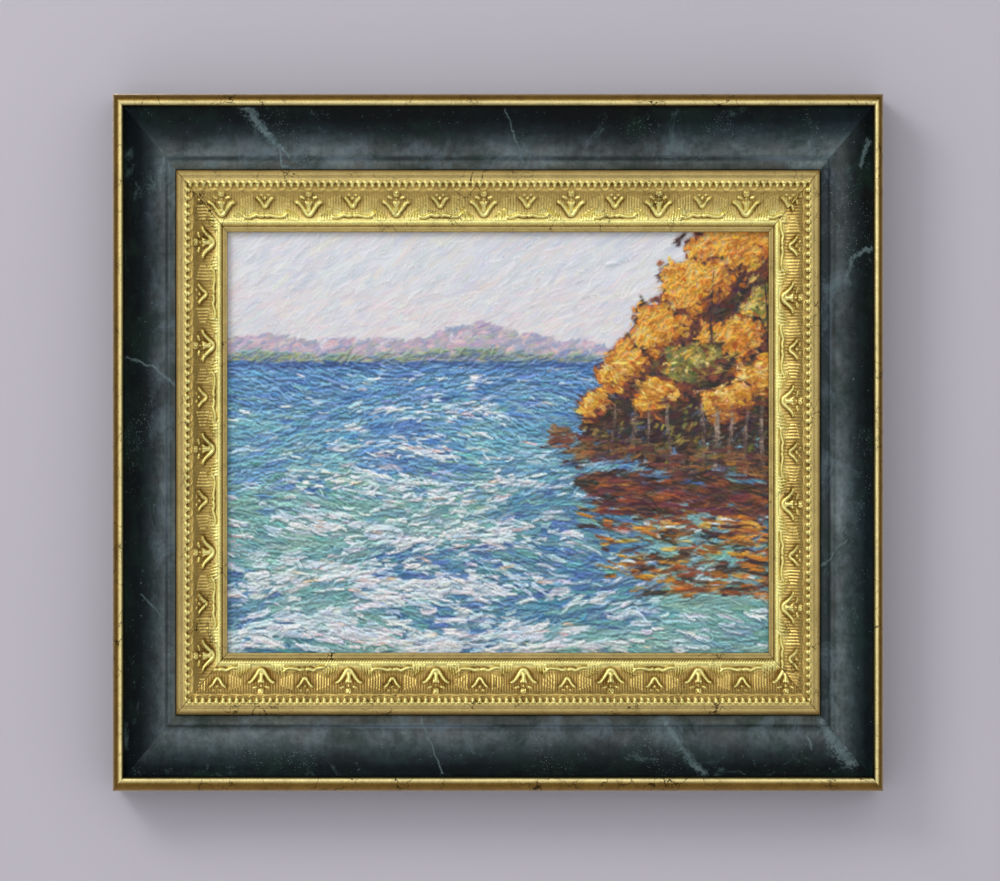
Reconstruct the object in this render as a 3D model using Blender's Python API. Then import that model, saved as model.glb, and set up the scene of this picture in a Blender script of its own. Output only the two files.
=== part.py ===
"""Framed oil painting.

A painted canvas on mitred stretcher bars sits in the rabbet of a gilt inner
moulding with pressed palmettes. That moulding sits in the rabbet of a wide
marbled outer moulding with a gilt lip. The picture faces -Y, +Z is up, and the
origin is the middle of the top rail's flat back, which lies on the wall at y = 0.

Every rail is described in three directions of its own: along it, inward from
its outer edge, and up from the wall. The level rails (top and bottom) set the
sizes. The uprights are the same moulding, narrower and with a longer pattern.
"""
import math

import bmesh
import bpy
import numpy as np
from mathutils import Vector
from mathutils.geometry import delaunay_2d_cdt

# Canvas and stretcher, in metres
CANVAS_WIDTH = 0.3556
CANVAS_HEIGHT = 0.2794
CLOTH = 0.0007
TURNOVER = 0.014
PAINTED_SHEET = 0.0010
IMPASTO = 0.0011
IMPASTO_COLUMNS = 19
IMPASTO_ROWS = 15
BAR_WIDTH = 0.038
BAR_THICKNESS = 0.016
BAR_TOUCH = 0.004
BAR_BEVEL = 0.003
BACK_RECESS = 0.0007

# How the pieces sit in each other
GAP = 0.0003
CANVAS_PLAY = 0.0015
SIGHT_COVER = 0.00635
LINER_COVER = 0.006
LINER_CLEARANCE = 0.0004
SHADOW_GAP = 0.0006
DRAWING_TOLERANCE = 0.00001

# Uprights against level rails
SIDE_SQUEEZE = 0.826
LEVEL_PERIOD = 0.0553
UPRIGHT_PERIOD = 0.0653

# Outer moulding across its face, from the outside in
LIP_WIDTH = 0.0079
LIP_CREST = 0.0046
LIP_DROP = 0.0034
LIP_FLANK = 0.0070
SCOOP_WIDTH = 0.0322
SCOOP_DROP = 0.0155
SCOOP_STEPS = 9
CREASE_WIDTH = 0.0005
CREASE_DEPTH = 0.0006
BAND_WIDTH = 0.0065
BAND_SWELL = 0.0003
BAND_THICKNESS = 0.0085
BAND_BELOW_REEDS = 0.0028

# Gilt inner moulding across its face, from the outside in
OUTER_REED_WIDTH = 0.0044
OUTER_REED_SWELL = 0.0008
REED_GROOVE = 0.0003
INNER_REED_WIDTH = 0.0036
INNER_REED_SWELL = 0.0012
LOBE_ROW_WIDTH = 0.0044
PANEL_WIDTH = 0.0181
PANEL_HOLLOW = 0.0016
OVOLO_WIDTH = 0.0042
OVOLO_SWELL = 0.0018
FILLET_WIDTH = 0.0035
FILLET_ROUND = 0.0004

# Gilt inner moulding: heights above the front of the sight edge
SIGHT_LIP = 0.0027
FILLET_RISE = 0.0006
GROOVE_RISE = 0.0002
OVOLO_RISE = 0.0014
PANEL_RISE = 0.0068
INNER_REED_RISE = 0.0074
OUTER_REED_RISE = 0.0080
OUTER_EDGE_RISE = 0.0074

# Pressed ornament on a level rail; heights stand on the face below them
LOBE_PITCH = 0.00853
LOBE_LENGTH = 0.0018
LOBE_RADIUS = 0.0019
LOBE_HEIGHT = 0.0013
LEAF_HEIGHT = 0.0014
LEAF_RADIUS = 0.0010
SMALL_LEAF_HEIGHT = 0.0010
SMALL_LEAF_RADIUS = 0.0008
PLUME_HEIGHT = 0.0011
PLUME_RADIUS = 0.0017
BERRY_HEIGHT = 0.0010
BERRY_RADIUS = 0.0011
RIBBON_HEIGHT = 0.0010
RIBBON_RADIUS = 0.0008

# Where one large palmette stands along each rail, measured from its middle
PATTERN_SHIFT = {"top": -0.0090, "right": -0.0262, "bottom": -0.0161, "left": -0.0041}

# Sizes that follow
SIGHT_WIDTH = CANVAS_WIDTH - 2 * SIGHT_COVER
SIGHT_HEIGHT = CANVAS_HEIGHT - 2 * SIGHT_COVER
OUTER_FACE = LIP_WIDTH + SCOOP_WIDTH + CREASE_WIDTH + BAND_WIDTH
LOBE_START = OUTER_REED_WIDTH + REED_GROOVE + INNER_REED_WIDTH
PANEL_START = LOBE_START + LOBE_ROW_WIDTH
OVOLO_START = PANEL_START + PANEL_WIDTH
FILLET_START = OVOLO_START + OVOLO_WIDTH
LINER_FACE = FILLET_START + FILLET_WIDTH
LINER_START = OUTER_FACE + SHADOW_GAP
RAIL_WIDTH = LINER_START + LINER_FACE
UPRIGHT_WIDTH = RAIL_WIDTH * SIDE_SQUEEZE
FRAME_WIDTH = SIGHT_WIDTH + 2 * UPRIGHT_WIDTH
FRAME_HEIGHT = SIGHT_HEIGHT + 2 * RAIL_WIDTH
UPRIGHT_STRETCH = UPRIGHT_PERIOD / LEVEL_PERIOD

# Levels above the wall
CLOTH_BACK = BACK_RECESS
BAR_BACK = CLOTH_BACK + CLOTH + GAP
BAR_FRONT = BAR_BACK + BAR_THICKNESS
SHEET_BACK = BAR_FRONT + GAP
SHEET_FRONT = SHEET_BACK + PAINTED_SHEET
SIGHT_BACK = SHEET_FRONT + IMPASTO + GAP
SIGHT_FRONT = SIGHT_BACK + SIGHT_LIP
BAND_LEVEL = SIGHT_FRONT + OUTER_REED_RISE - BAND_BELOW_REEDS
BAND_BACK = BAND_LEVEL - BAND_THICKNESS
CREASE_LEVEL = BAND_LEVEL - CREASE_DEPTH
SCOOP_TOP = CREASE_LEVEL + SCOOP_DROP
LIP_LEVEL = SCOOP_TOP + LIP_DROP
FLANGE_LEVEL = BAND_BACK - GAP

# The wall mount is the middle of the top rail's back, so the frame hangs below it
BACK_WIDTH = OUTER_FACE - LINER_COVER
TOP_EDGE = BACK_WIDTH / 2
MIDDLE = TOP_EDGE - FRAME_HEIGHT / 2


def clear_scene():
    for item in list(bpy.data.objects):
        bpy.data.objects.remove(item, do_unlink=True)


def material(name, colour, roughness, metallic=0.0):
    """One Principled material, made once and shared by the pieces that need it."""
    made = bpy.data.materials.get(name)
    if made:
        return made
    made = bpy.data.materials.new(name)
    made.use_nodes = True
    shader = made.node_tree.nodes["Principled BSDF"]
    shader.inputs["Base Color"].default_value = (*colour, 1.0)
    shader.inputs["Roughness"].default_value = roughness
    shader.inputs["Metallic"].default_value = metallic
    made.diffuse_color = (*colour, 1.0)
    return made


def marbled_paint():
    return material("marbled_green_black_paint", (0.045, 0.060, 0.058), 0.35)


def gilding():
    return material("aged_gilding", (0.62, 0.46, 0.16), 0.36, 0.85)


def pine():
    return material("stretcher_pine", (0.60, 0.44, 0.27), 0.75)


def painted_linen():
    return material("painted_linen", (0.42, 0.52, 0.62), 0.55)


def add_object(name, mesh_data, surface):
    """Put a finished mesh in the scene, facing out, smooth where it is round."""
    bmesh.ops.recalc_face_normals(mesh_data, faces=mesh_data.faces)
    bmesh.ops.triangulate(mesh_data, faces=mesh_data.faces)
    mesh = bpy.data.meshes.new(name)
    mesh_data.to_mesh(mesh)
    mesh_data.free()
    mesh.shade_smooth()
    mesh.set_sharp_from_angle(angle=math.radians(28))
    mesh.materials.append(surface)
    piece = bpy.data.objects.new(name, mesh)
    bpy.context.scene.collection.objects.link(piece)
    return piece


def place(side, along, inward, level, half_width, half_height):
    """A rail's own point as a point of the object, for a frame of this half size.

    Seen from the front with its outer edge up, each rail runs left to right.
    """
    if side == "top":
        return Vector((along, -level, MIDDLE + half_height - inward))
    if side == "right":
        return Vector((half_width - inward, -level, MIDDLE - along))
    if side == "bottom":
        return Vector((-along, -level, MIDDLE - half_height + inward))
    return Vector((inward - half_width, -level, MIDDLE + along))


class Run:
    """How long a mitred rail is at each distance inward from its outer edge."""

    def __init__(self, side, half_width, half_height, slope):
        self.side = side
        self.half_width = half_width
        self.half_height = half_height
        self.level = side in ("top", "bottom")
        self.half_length = half_width if self.level else half_height
        self.slope = slope if self.level else 1 / slope
        self.cut_back = GAP / 2 * math.hypot(1, self.slope)

    def reach(self, inward):
        return self.half_length - inward * self.slope - self.cut_back

    def point(self, along, inward, level):
        return place(self.side, along, inward, level, self.half_width, self.half_height)


def frame_run(side):
    """A rail of the frame: both mouldings share one mitre line."""
    return Run(side, FRAME_WIDTH / 2, FRAME_HEIGHT / 2, SIDE_SQUEEZE)


def bowed(start, end, swell, steps):
    """Points from start to end along a shallow bow; a negative swell hollows it."""
    shares = np.linspace(0, 1, steps + 1)
    inward = start[0] + (end[0] - start[0]) * shares
    level = start[1] + (end[1] - start[1]) * shares + 4 * swell * shares * (1 - shares)
    return list(zip(inward.tolist(), level.tolist()))


def add_sweep(name, run, outline, surface):
    """A mitred rail from one closed outline of (inward, level) points."""
    mesh_data = bmesh.new()
    ends = []
    for direction in (-1, 1):
        ring = []
        for inward, level in outline:
            ring.append(mesh_data.verts.new(run.point(direction * run.reach(inward), inward, level)))
        ends.append(ring)
    count = len(outline)
    for index in range(count):
        after = (index + 1) % count
        corners = (ends[0][index], ends[0][after], ends[1][after], ends[1][index])
        mesh_data.faces.new(corners)
    mesh_data.faces.new(ends[0])
    mesh_data.faces.new(ends[1])
    return add_object(name, mesh_data, surface)


def moulding_outline(squeeze):
    """Outer moulding: flat back, rounded lip, deep scoop, crease, band and rabbet."""
    crest = (LIP_CREST, LIP_LEVEL)
    points = [(0, 0)]
    for step in range(6):
        turn = math.radians(90 * step / 5)
        inward = crest[0] * (1 - math.cos(turn))
        level = crest[1] - LIP_FLANK * (1 - math.sin(turn))
        points.append((inward, level))
    inner_lip = LIP_WIDTH - crest[0]
    for step in range(1, 5):
        turn = math.radians(90 * step / 4)
        inward = crest[0] + inner_lip * math.sin(turn)
        level = SCOOP_TOP + LIP_DROP * math.cos(turn)
        points.append((inward, level))
    for step in range(1, SCOOP_STEPS + 1):
        share = step / SCOOP_STEPS
        inward = LIP_WIDTH + SCOOP_WIDTH * share
        level = CREASE_LEVEL + SCOOP_DROP * (1 - share) ** 2.2
        points.append((inward, level))
    band_start = LIP_WIDTH + SCOOP_WIDTH + CREASE_WIDTH
    points += bowed((band_start, BAND_LEVEL), (OUTER_FACE, BAND_LEVEL), BAND_SWELL, 3)
    points += [(OUTER_FACE, BAND_BACK), (BACK_WIDTH, BAND_BACK), (BACK_WIDTH, 0)]
    return [(inward * squeeze, level) for inward, level in points]


def add_moulding(side):
    run = frame_run(side)
    squeeze = 1.0 if run.level else SIDE_SQUEEZE
    add_sweep(f"moulding_{side}", run, moulding_outline(squeeze), marbled_paint())


def liner_parts():
    """Stretches of the gilt face: start, end, swell and steps, heights from the sight edge."""
    groove = OUTER_REED_WIDTH + REED_GROOVE
    fillet_end = LINER_FACE - FILLET_ROUND
    return [
        ((0, OUTER_EDGE_RISE), (OUTER_REED_WIDTH, OUTER_REED_RISE), OUTER_REED_SWELL, 3),
        ((groove, OUTER_REED_RISE), (LOBE_START, INNER_REED_RISE), INNER_REED_SWELL, 3),
        ((LOBE_START, INNER_REED_RISE), (PANEL_START, PANEL_RISE), 0, 1),
        ((PANEL_START, PANEL_RISE), (OVOLO_START, OVOLO_RISE), -PANEL_HOLLOW, 3),
        ((OVOLO_START, OVOLO_RISE), (FILLET_START, GROOVE_RISE), OVOLO_SWELL, 3),
        ((FILLET_START, GROOVE_RISE), (FILLET_START + REED_GROOVE, FILLET_RISE), 0, 1),
        ((FILLET_START + REED_GROOVE, FILLET_RISE), (fillet_end, FILLET_RISE), 0, 1),
        ((fillet_end, FILLET_RISE), (LINER_FACE, 0), 0, 1),
    ]


def liner_rise(inward):
    """Height of the plain gilt face above the sight edge, at this distance inward."""
    inward = np.asarray(inward, dtype=float)
    stations = []
    for start, end, swell, steps in liner_parts():
        stations += bowed(start, end, swell, 1 if swell == 0 else 16)
    places, rises = np.array(stations).T
    return np.interp(inward, places, rises)


def curve(start, pull, end, steps):
    """Points of a quadratic curve from start to end, drawn towards the pull point."""
    points = []
    for step in range(steps + 1):
        share = step / steps
        weights = ((1 - share) ** 2, 2 * share * (1 - share), share ** 2)
        points.append(tuple(sum(w * p[axis] for w, p in zip(weights, (start, pull, end)))
                            for axis in (0, 1)))
    return points


def mirrored(points):
    return [(-along, outward) for along, outward in points]


def moved(strokes, shift):
    """The same strokes further along the rail."""
    result = []
    for points, radii, height in strokes:
        result.append(([(along + shift, outward) for along, outward in points], radii, height))
    return result


def large_strokes():
    """Large palmette: two leaves, a plume between them and three berries over it.

    A stroke is (points, end radii, height). Points are (along from the middle of
    the palmette, outward from the sight edge).
    """
    leaf = curve((0.0005, 0.0093), (0.0034, 0.0150), (0.0084, 0.0182), 3)
    leaf_radii = (LEAF_RADIUS, LEAF_RADIUS * 0.6)
    plume = [(0, 0.0115), (0, 0.0176)]
    plume_radii = (PLUME_RADIUS, PLUME_RADIUS * 0.35)
    top_berry = [(0, 0.0229), (0, 0.0240)]
    top_radii = (BERRY_RADIUS, BERRY_RADIUS)
    side_berry = [(0.0036, 0.0212), (0.0047, 0.0217)]
    side_radii = (BERRY_RADIUS * 0.7, BERRY_RADIUS * 0.7)
    return [
        (leaf, leaf_radii, LEAF_HEIGHT),
        (mirrored(leaf), leaf_radii, LEAF_HEIGHT),
        (plume, plume_radii, PLUME_HEIGHT),
        (top_berry, top_radii, BERRY_HEIGHT),
        (side_berry, side_radii, BERRY_HEIGHT),
        (mirrored(side_berry), side_radii, BERRY_HEIGHT),
    ]


def small_strokes():
    """Small palmette: two leaves, one berry and the two ribbon strokes under them."""
    leaf = curve((0.0002, 0.0142), (0.0020, 0.0180), (0.0047, 0.0203), 2)
    leaf_radii = (SMALL_LEAF_RADIUS, SMALL_LEAF_RADIUS * 0.7)
    berry = [(-0.0003, 0.0193), (0.0003, 0.0193)]
    berry_radii = (SMALL_LEAF_RADIUS, SMALL_LEAF_RADIUS)
    ribbon_before = [(-0.0117, 0.0087), (-0.0086, 0.0088), (-0.0055, 0.0101), (-0.0013, 0.0094)]
    ribbon_after = [(0.0009, 0.0095), (0.0050, 0.0093), (0.0086, 0.0087), (0.0111, 0.0099)]
    return [
        (leaf, leaf_radii, SMALL_LEAF_HEIGHT),
        (mirrored(leaf), leaf_radii, SMALL_LEAF_HEIGHT),
        (berry, berry_radii, SMALL_LEAF_HEIGHT),
        (ribbon_before, (RIBBON_RADIUS * 0.7, RIBBON_RADIUS), RIBBON_HEIGHT),
        (ribbon_after, (RIBBON_RADIUS, RIBBON_RADIUS * 0.7), RIBBON_HEIGHT),
    ]


def lobe_strokes():
    """One scalloped lobe of the row under the reeds."""
    outward = LINER_FACE - (LOBE_START + PANEL_START) / 2
    points = [(-LOBE_LENGTH / 2, outward), (LOBE_LENGTH / 2, outward)]
    return [(points, (LOBE_RADIUS, LOBE_RADIUS), LOBE_HEIGHT)]


def stroke_ring(points, radii):
    """Closed outline round a stroke: a point before, one side, a point after, the other side."""
    spine = np.array(points)
    radius = np.linspace(radii[0], radii[1], len(spine))[:, None]
    heading = np.gradient(spine, axis=0)
    heading /= np.linalg.norm(heading, axis=1)[:, None]
    across = np.column_stack([-heading[:, 1], heading[:, 0]])
    first = spine[0] - heading[0] * radius[0]
    last = spine[-1] + heading[-1] * radius[-1]
    left = spine + across * radius
    right = (spine - across * radius)[::-1]
    return np.vstack([[first], left, [last], right])


def stroke_rise(place_along, place_outward, points, radii, height):
    """Height of one stroke over the face: a ridge that falls straight to its outline."""
    best = np.zeros_like(place_along)
    spine = np.array(points)
    radius = np.linspace(radii[0], radii[1], len(spine))
    for index in range(len(spine) - 1):
        step = spine[index + 1] - spine[index]
        from_start = np.column_stack([place_along, place_outward]) - spine[index]
        share = np.clip(from_start @ step / (step @ step), 0, 1)
        away = np.linalg.norm(from_start - share[:, None] * step, axis=1)
        reach = radius[index] + (radius[index + 1] - radius[index]) * share
        best = np.maximum(best, height * (1 - away / reach))
    return best


def ornament_rise(along, outward):
    """Height of all the ornament over the plain face, on a level rail."""
    half = LEVEL_PERIOD / 2
    repeat = (along + half) % LEVEL_PERIOD - half
    best = np.zeros_like(along)
    for stroke in large_strokes() + moved(small_strokes(), -half) + moved(small_strokes(), half):
        best = np.maximum(best, stroke_rise(repeat, outward, *stroke))
    in_row = (along + LOBE_PITCH / 2) % LOBE_PITCH - LOBE_PITCH / 2
    for stroke in lobe_strokes():
        best = np.maximum(best, stroke_rise(in_row, outward, *stroke))
    return best


def ornament_strokes(start, end):
    """Every stroke of the ornament between two places along a level rail."""
    strokes = []
    for number in range(math.floor(start / LEVEL_PERIOD) - 1, math.ceil(end / LEVEL_PERIOD) + 2):
        strokes += moved(large_strokes(), number * LEVEL_PERIOD)
        strokes += moved(small_strokes(), (number + 0.5) * LEVEL_PERIOD)
    for number in range(math.floor(start / LOBE_PITCH), math.ceil(end / LOBE_PITCH) + 1):
        strokes += moved(lobe_strokes(), number * LOBE_PITCH)
    return strokes


def hollow_points(start, end):
    """Points between the palmettes that carry the panel's hollow from one to the next."""
    points = []
    for quarter in range(math.ceil(4 * start / LEVEL_PERIOD), math.floor(4 * end / LEVEL_PERIOD)):
        if quarter % 2:
            for share in (1 / 3, 2 / 3):
                along = quarter * LEVEL_PERIOD / 4
                points.append(Vector((along, PANEL_START + share * PANEL_WIDTH)))
    return points


class Drawing:
    """Points and lines in a plane, to be filled with triangles that keep every line."""

    def __init__(self):
        self.points = []
        self.edges = []

    def add_line(self, points, closed=False):
        first = len(self.points)
        self.points += [Vector((float(x), float(y))) for x, y in points]
        last = len(self.points) - 1
        self.edges += [(index, index + 1) for index in range(first, last)]
        if closed:
            self.edges.append((last, first))

    def triangles(self):
        filled = delaunay_2d_cdt(self.points, self.edges, [], 0, DRAWING_TOLERANCE)
        return np.array([tuple(point) for point in filled[0]]), filled[2]


def add_liner(side):
    """Gilt rail: the face is drawn flat, filled with triangles, then raised to its height."""
    run = frame_run(side)
    squeeze = 1.0 if run.level else SIDE_SQUEEZE
    stretch = 1.0 if run.level else UPRIGHT_STRETCH
    shift = PATTERN_SHIFT[side]

    def mitre(inward, direction):
        """Where the mitre cuts the face, in the pattern's own length."""
        return (direction * run.reach((LINER_START + inward) * squeeze) - shift) / stretch

    stations = []
    for start, end, swell, steps in liner_parts():
        stations += [inward for inward, level in bowed(start, end, swell, steps)]
    stations = sorted(set(round(inward, 9) for inward in stations))
    drawing = Drawing()
    for direction in (-1, 1):
        drawing.add_line([(mitre(inward, direction), inward) for inward in stations])
    for inward in stations:
        if not PANEL_START < inward < OVOLO_START:
            drawing.add_line([(mitre(inward, -1), inward), (mitre(inward, 1), inward)])
    drawing.points += hollow_points(mitre(OVOLO_START, -1), mitre(OVOLO_START, 1))
    for points, radii, height in ornament_strokes(mitre(0, -1), mitre(0, 1)):
        outlines = [(stroke_ring(points, radii), True), (np.array(points), False)]
        for line, closed in outlines:
            drawing.add_line([(along, LINER_FACE - outward) for along, outward in line], closed)
    flat, triangles = drawing.triangles()

    along, inward = flat.T
    rise = liner_rise(inward) + ornament_rise(along, LINER_FACE - inward)
    mesh_data = bmesh.new()
    verts = {}

    def vertex(index):
        if index not in verts:
            spot = (along[index] * stretch + shift, (LINER_START + inward[index]) * squeeze)
            verts[index] = mesh_data.verts.new(run.point(*spot, SIGHT_FRONT + rise[index]))
        return verts[index]

    for corners in triangles:
        middle_along, middle_inward = flat[list(corners)].mean(axis=0)
        on_face = 0 < middle_inward < LINER_FACE
        if on_face and mitre(middle_inward, -1) < middle_along < mitre(middle_inward, 1):
            mesh_data.faces.new([vertex(index) for index in corners])

    sight = RAIL_WIDTH * squeeze
    pocket = sight - SIGHT_COVER - CANVAS_PLAY
    flange = (BACK_WIDTH + LINER_CLEARANCE) * squeeze
    hidden = [(sight, SIGHT_BACK), (pocket, SIGHT_BACK), (pocket, 0), (flange, 0),
              (flange, FLANGE_LEVEL), (LINER_START * squeeze, FLANGE_LEVEL)]
    rings = []
    for direction in (-1, 1):
        on_mitre = [index for index in verts
                    if abs(along[index] - mitre(inward[index], direction)) < DRAWING_TOLERANCE]
        on_mitre.sort(key=lambda index: inward[index])
        front = [verts[index] for index in on_mitre]
        back = []
        for inward_place, level in hidden:
            spot = run.point(direction * run.reach(inward_place), inward_place, level)
            back.append(mesh_data.verts.new(spot))
        mesh_data.faces.new(front + back)
        rings.append([front[-1]] + back + [front[0]])
    for index in range(len(rings[0]) - 1):
        corners = (rings[0][index], rings[0][index + 1], rings[1][index + 1], rings[1][index])
        mesh_data.faces.new(corners)
    add_object(f"gilt_liner_{side}", mesh_data, gilding())


def add_canvas():
    """Painted linen: raised paint in front, folded round the bars, turned over behind."""
    chance = np.random.default_rng(11)
    half = np.array([CANVAS_WIDTH / 2, CANVAS_HEIGHT / 2])
    corners = [(-1, -1), (1, -1), (1, 1), (-1, 1)]
    drawing = Drawing()
    drawing.add_line([half * corner for corner in corners], closed=True)
    painted = half - SIGHT_COVER
    columns = np.linspace(-1, 1, IMPASTO_COLUMNS)
    rows = np.linspace(-1, 1, IMPASTO_ROWS)
    cell = 2 * painted / (IMPASTO_COLUMNS, IMPASTO_ROWS)
    for row in rows[1:-1]:
        for column in columns[1:-1]:
            spot = painted * (column, row) + cell * chance.uniform(-0.3, 0.3, 2)
            drawing.points.append(Vector(spot.tolist()))
    drawing.add_line([painted * corner for corner in corners], closed=True)
    flat, triangles = drawing.triangles()

    mesh_data = bmesh.new()
    front = []
    for spot in flat:
        inside = np.all(np.abs(spot) < painted - DRAWING_TOLERANCE)
        thickness = IMPASTO * chance.uniform(0.2, 1.0) if inside else 0
        place_in_air = (spot[0], -SHEET_FRONT - thickness, MIDDLE + spot[1])
        front.append(mesh_data.verts.new(place_in_air))
    for indices in triangles:
        mesh_data.faces.new([front[index] for index in indices])

    def ring(inset, level):
        made = []
        for corner in corners:
            x, z = (half - inset) * corner
            made.append(mesh_data.verts.new((x, -level, MIDDLE + z)))
        return made

    outer = []
    for corner in corners:
        distance = np.linalg.norm(flat - half * corner, axis=1)
        outer.append(front[int(np.argmin(distance))])
    fold = CLOTH_BACK + CLOTH
    rings = [outer, ring(0, CLOTH_BACK), ring(TURNOVER, CLOTH_BACK), ring(TURNOVER, fold),
             ring(CLOTH, fold), ring(CLOTH, SHEET_BACK)]
    for before, after in zip(rings, rings[1:]):
        for index in range(4):
            following = (index + 1) % 4
            mesh_data.faces.new((before[index], before[following], after[following], after[index]))
    mesh_data.faces.new(rings[-1])
    add_object("canvas", mesh_data, painted_linen())


def add_bar(side):
    """Stretcher bar: it touches the canvas near its outer edge and slopes away inside."""
    inset = CLOTH + GAP
    run = Run(side, CANVAS_WIDTH / 2 - inset, CANVAS_HEIGHT / 2 - inset, 1.0)
    outline = [(0, BAR_BACK), (0, BAR_FRONT), (BAR_TOUCH, BAR_FRONT),
               (BAR_WIDTH, BAR_FRONT - BAR_BEVEL), (BAR_WIDTH, BAR_BACK)]
    add_sweep(f"stretcher_{side}", run, outline, pine())


clear_scene()
for rail_side in ("top", "right", "bottom", "left"):
    add_moulding(rail_side)
    add_liner(rail_side)
    add_bar(rail_side)
add_canvas()
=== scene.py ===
import math

import bmesh
import bpy
import numpy as np
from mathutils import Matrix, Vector


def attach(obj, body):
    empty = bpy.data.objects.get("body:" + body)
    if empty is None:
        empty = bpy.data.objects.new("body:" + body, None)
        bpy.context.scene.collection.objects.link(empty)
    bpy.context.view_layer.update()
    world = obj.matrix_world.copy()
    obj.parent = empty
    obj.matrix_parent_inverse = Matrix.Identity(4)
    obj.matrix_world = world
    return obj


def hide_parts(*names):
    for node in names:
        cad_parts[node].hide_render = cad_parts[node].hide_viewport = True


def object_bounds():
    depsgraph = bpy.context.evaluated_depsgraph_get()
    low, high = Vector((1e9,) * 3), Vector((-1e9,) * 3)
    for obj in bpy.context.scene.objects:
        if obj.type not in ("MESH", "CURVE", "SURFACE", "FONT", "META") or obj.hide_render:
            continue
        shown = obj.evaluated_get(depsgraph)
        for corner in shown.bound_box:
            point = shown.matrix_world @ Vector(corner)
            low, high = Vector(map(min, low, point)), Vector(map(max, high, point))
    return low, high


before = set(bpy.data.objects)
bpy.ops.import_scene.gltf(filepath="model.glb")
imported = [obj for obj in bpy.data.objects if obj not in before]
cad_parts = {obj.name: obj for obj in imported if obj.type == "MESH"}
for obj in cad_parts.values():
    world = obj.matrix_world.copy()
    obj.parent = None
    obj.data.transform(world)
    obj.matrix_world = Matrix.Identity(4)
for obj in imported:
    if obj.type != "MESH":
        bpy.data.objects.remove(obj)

solid_low, solid_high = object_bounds()

# The wall and floor that the picture is seen against.
# Plain pale plaster and a plain pale floor. The wall can be looked through from behind, so that
# the back of the picture shows in the views from there.


def light_value(chips):
    """Paint chips' values, 0 to 255, as the light values that a shader takes."""
    chips = np.array(chips, dtype=float) / 255
    return np.where(chips <= 0.04045, chips / 12.92, ((chips + 0.055) / 1.055) ** 2.4)


def plain_colour(red, green, blue):
    """One paint chip as a shader's colour."""
    return tuple(light_value([red, green, blue]).tolist()) + (1.0,)


def new_material(name, colour, roughness):
    """A plain finish, with its tree and its shader."""
    finish = bpy.data.materials.new(name)
    finish.use_nodes = True
    shader = finish.node_tree.nodes["Principled BSDF"]
    shader.inputs["Base Color"].default_value = colour
    shader.inputs["Roughness"].default_value = roughness
    return finish, finish.node_tree, shader


def put_in_scene(name, data):
    """A new object made of a mesh, a lamp or a camera."""
    made = bpy.data.objects.new(name, data)
    bpy.context.scene.collection.objects.link(made)
    return made


def add_plane(name, corners, finish):
    """One large flat face of the room, not attached to any body of the model."""
    mesh = bpy.data.meshes.new(name)
    mesh.from_pydata(corners, [], [tuple(range(len(corners)))])
    mesh.materials.append(finish)
    plane = put_in_scene(name, mesh)


wall_gap = 0.0005
room_half_width = 3.2
room_depth = 4.5
floor_drop = 1.15
ceiling_rise = 1.8

plaster, plaster_tree, plaster_shader = new_material("pale_plaster", plain_colour(196, 192, 202), 0.9)
see_through = plaster_tree.nodes.new("ShaderNodeBsdfTransparent")
side_seen = plaster_tree.nodes.new("ShaderNodeNewGeometry")
ray_kind = plaster_tree.nodes.new("ShaderNodeLightPath")
seen_in_front = plaster_tree.nodes.new("ShaderNodeMath")
seen_in_front.operation = "SUBTRACT"
seen_in_front.use_clamp = True
one_sided = plaster_tree.nodes.new("ShaderNodeMixShader")
plaster_tree.links.new(ray_kind.outputs["Is Camera Ray"], seen_in_front.inputs[0])
plaster_tree.links.new(side_seen.outputs["Backfacing"], seen_in_front.inputs[1])
plaster_tree.links.new(seen_in_front.outputs["Value"], one_sided.inputs["Fac"])
plaster_tree.links.new(see_through.outputs["BSDF"], one_sided.inputs[1])
plaster_tree.links.new(plaster_shader.outputs["BSDF"], one_sided.inputs[2])
plaster_tree.links.new(one_sided.outputs["Shader"], plaster_tree.nodes["Material Output"].inputs["Surface"])
add_plane("plaster_wall", [
    (-room_half_width, wall_gap, -floor_drop),
    (room_half_width, wall_gap, -floor_drop),
    (room_half_width, wall_gap, ceiling_rise),
    (-room_half_width, wall_gap, ceiling_rise),
], plaster)

floor_paint = new_material("pale_floor", plain_colour(214, 212, 216), 0.8)[0]
add_plane("pale_floor", [
    (-room_half_width, -room_depth, -floor_drop),
    (room_half_width, -room_depth, -floor_drop),
    (room_half_width, room_depth, -floor_drop),
    (-room_half_width, room_depth, -floor_drop),
], floor_paint)

# The camera stands square to the picture, far off behind a long lens, as the photo was taken.
# The outer frame fills 772 of the picture's 1000 pixels, with its middle at (498, 442.5).
photo_width = 1000
photo_height = 881
frame_pixels = 772
frame_middle_pixel = (498, 442.5)
camera_distance = 3.4

frame_middle = (solid_low + solid_high) / 2
frame_width = solid_high.x - solid_low.x
frame_height = solid_high.z - solid_low.z
seen_width = frame_width * photo_width / frame_pixels
metres_per_pixel = seen_width / photo_width
camera_data = bpy.data.cameras.new("long_lens")
camera_data.sensor_width = 36
camera_data.lens = camera_data.sensor_width * camera_distance / seen_width
camera = put_in_scene("long_lens", camera_data)
camera.location = (
    frame_middle.x - (frame_middle_pixel[0] - photo_width / 2) * metres_per_pixel,
    solid_low.y - camera_distance,
    frame_middle.z + (frame_middle_pixel[1] - photo_height / 2) * metres_per_pixel,
)
camera.rotation_euler = (math.radians(90), 0, 0)
bpy.context.scene.camera = camera
bpy.context.scene.view_settings.view_transform = "Standard"

# Soft daylight from a wide ring round the camera, with a window high on the left.
# The sky behind the camera stays dimmer, as in a room, so flat gilding doesn't flash white.


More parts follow.
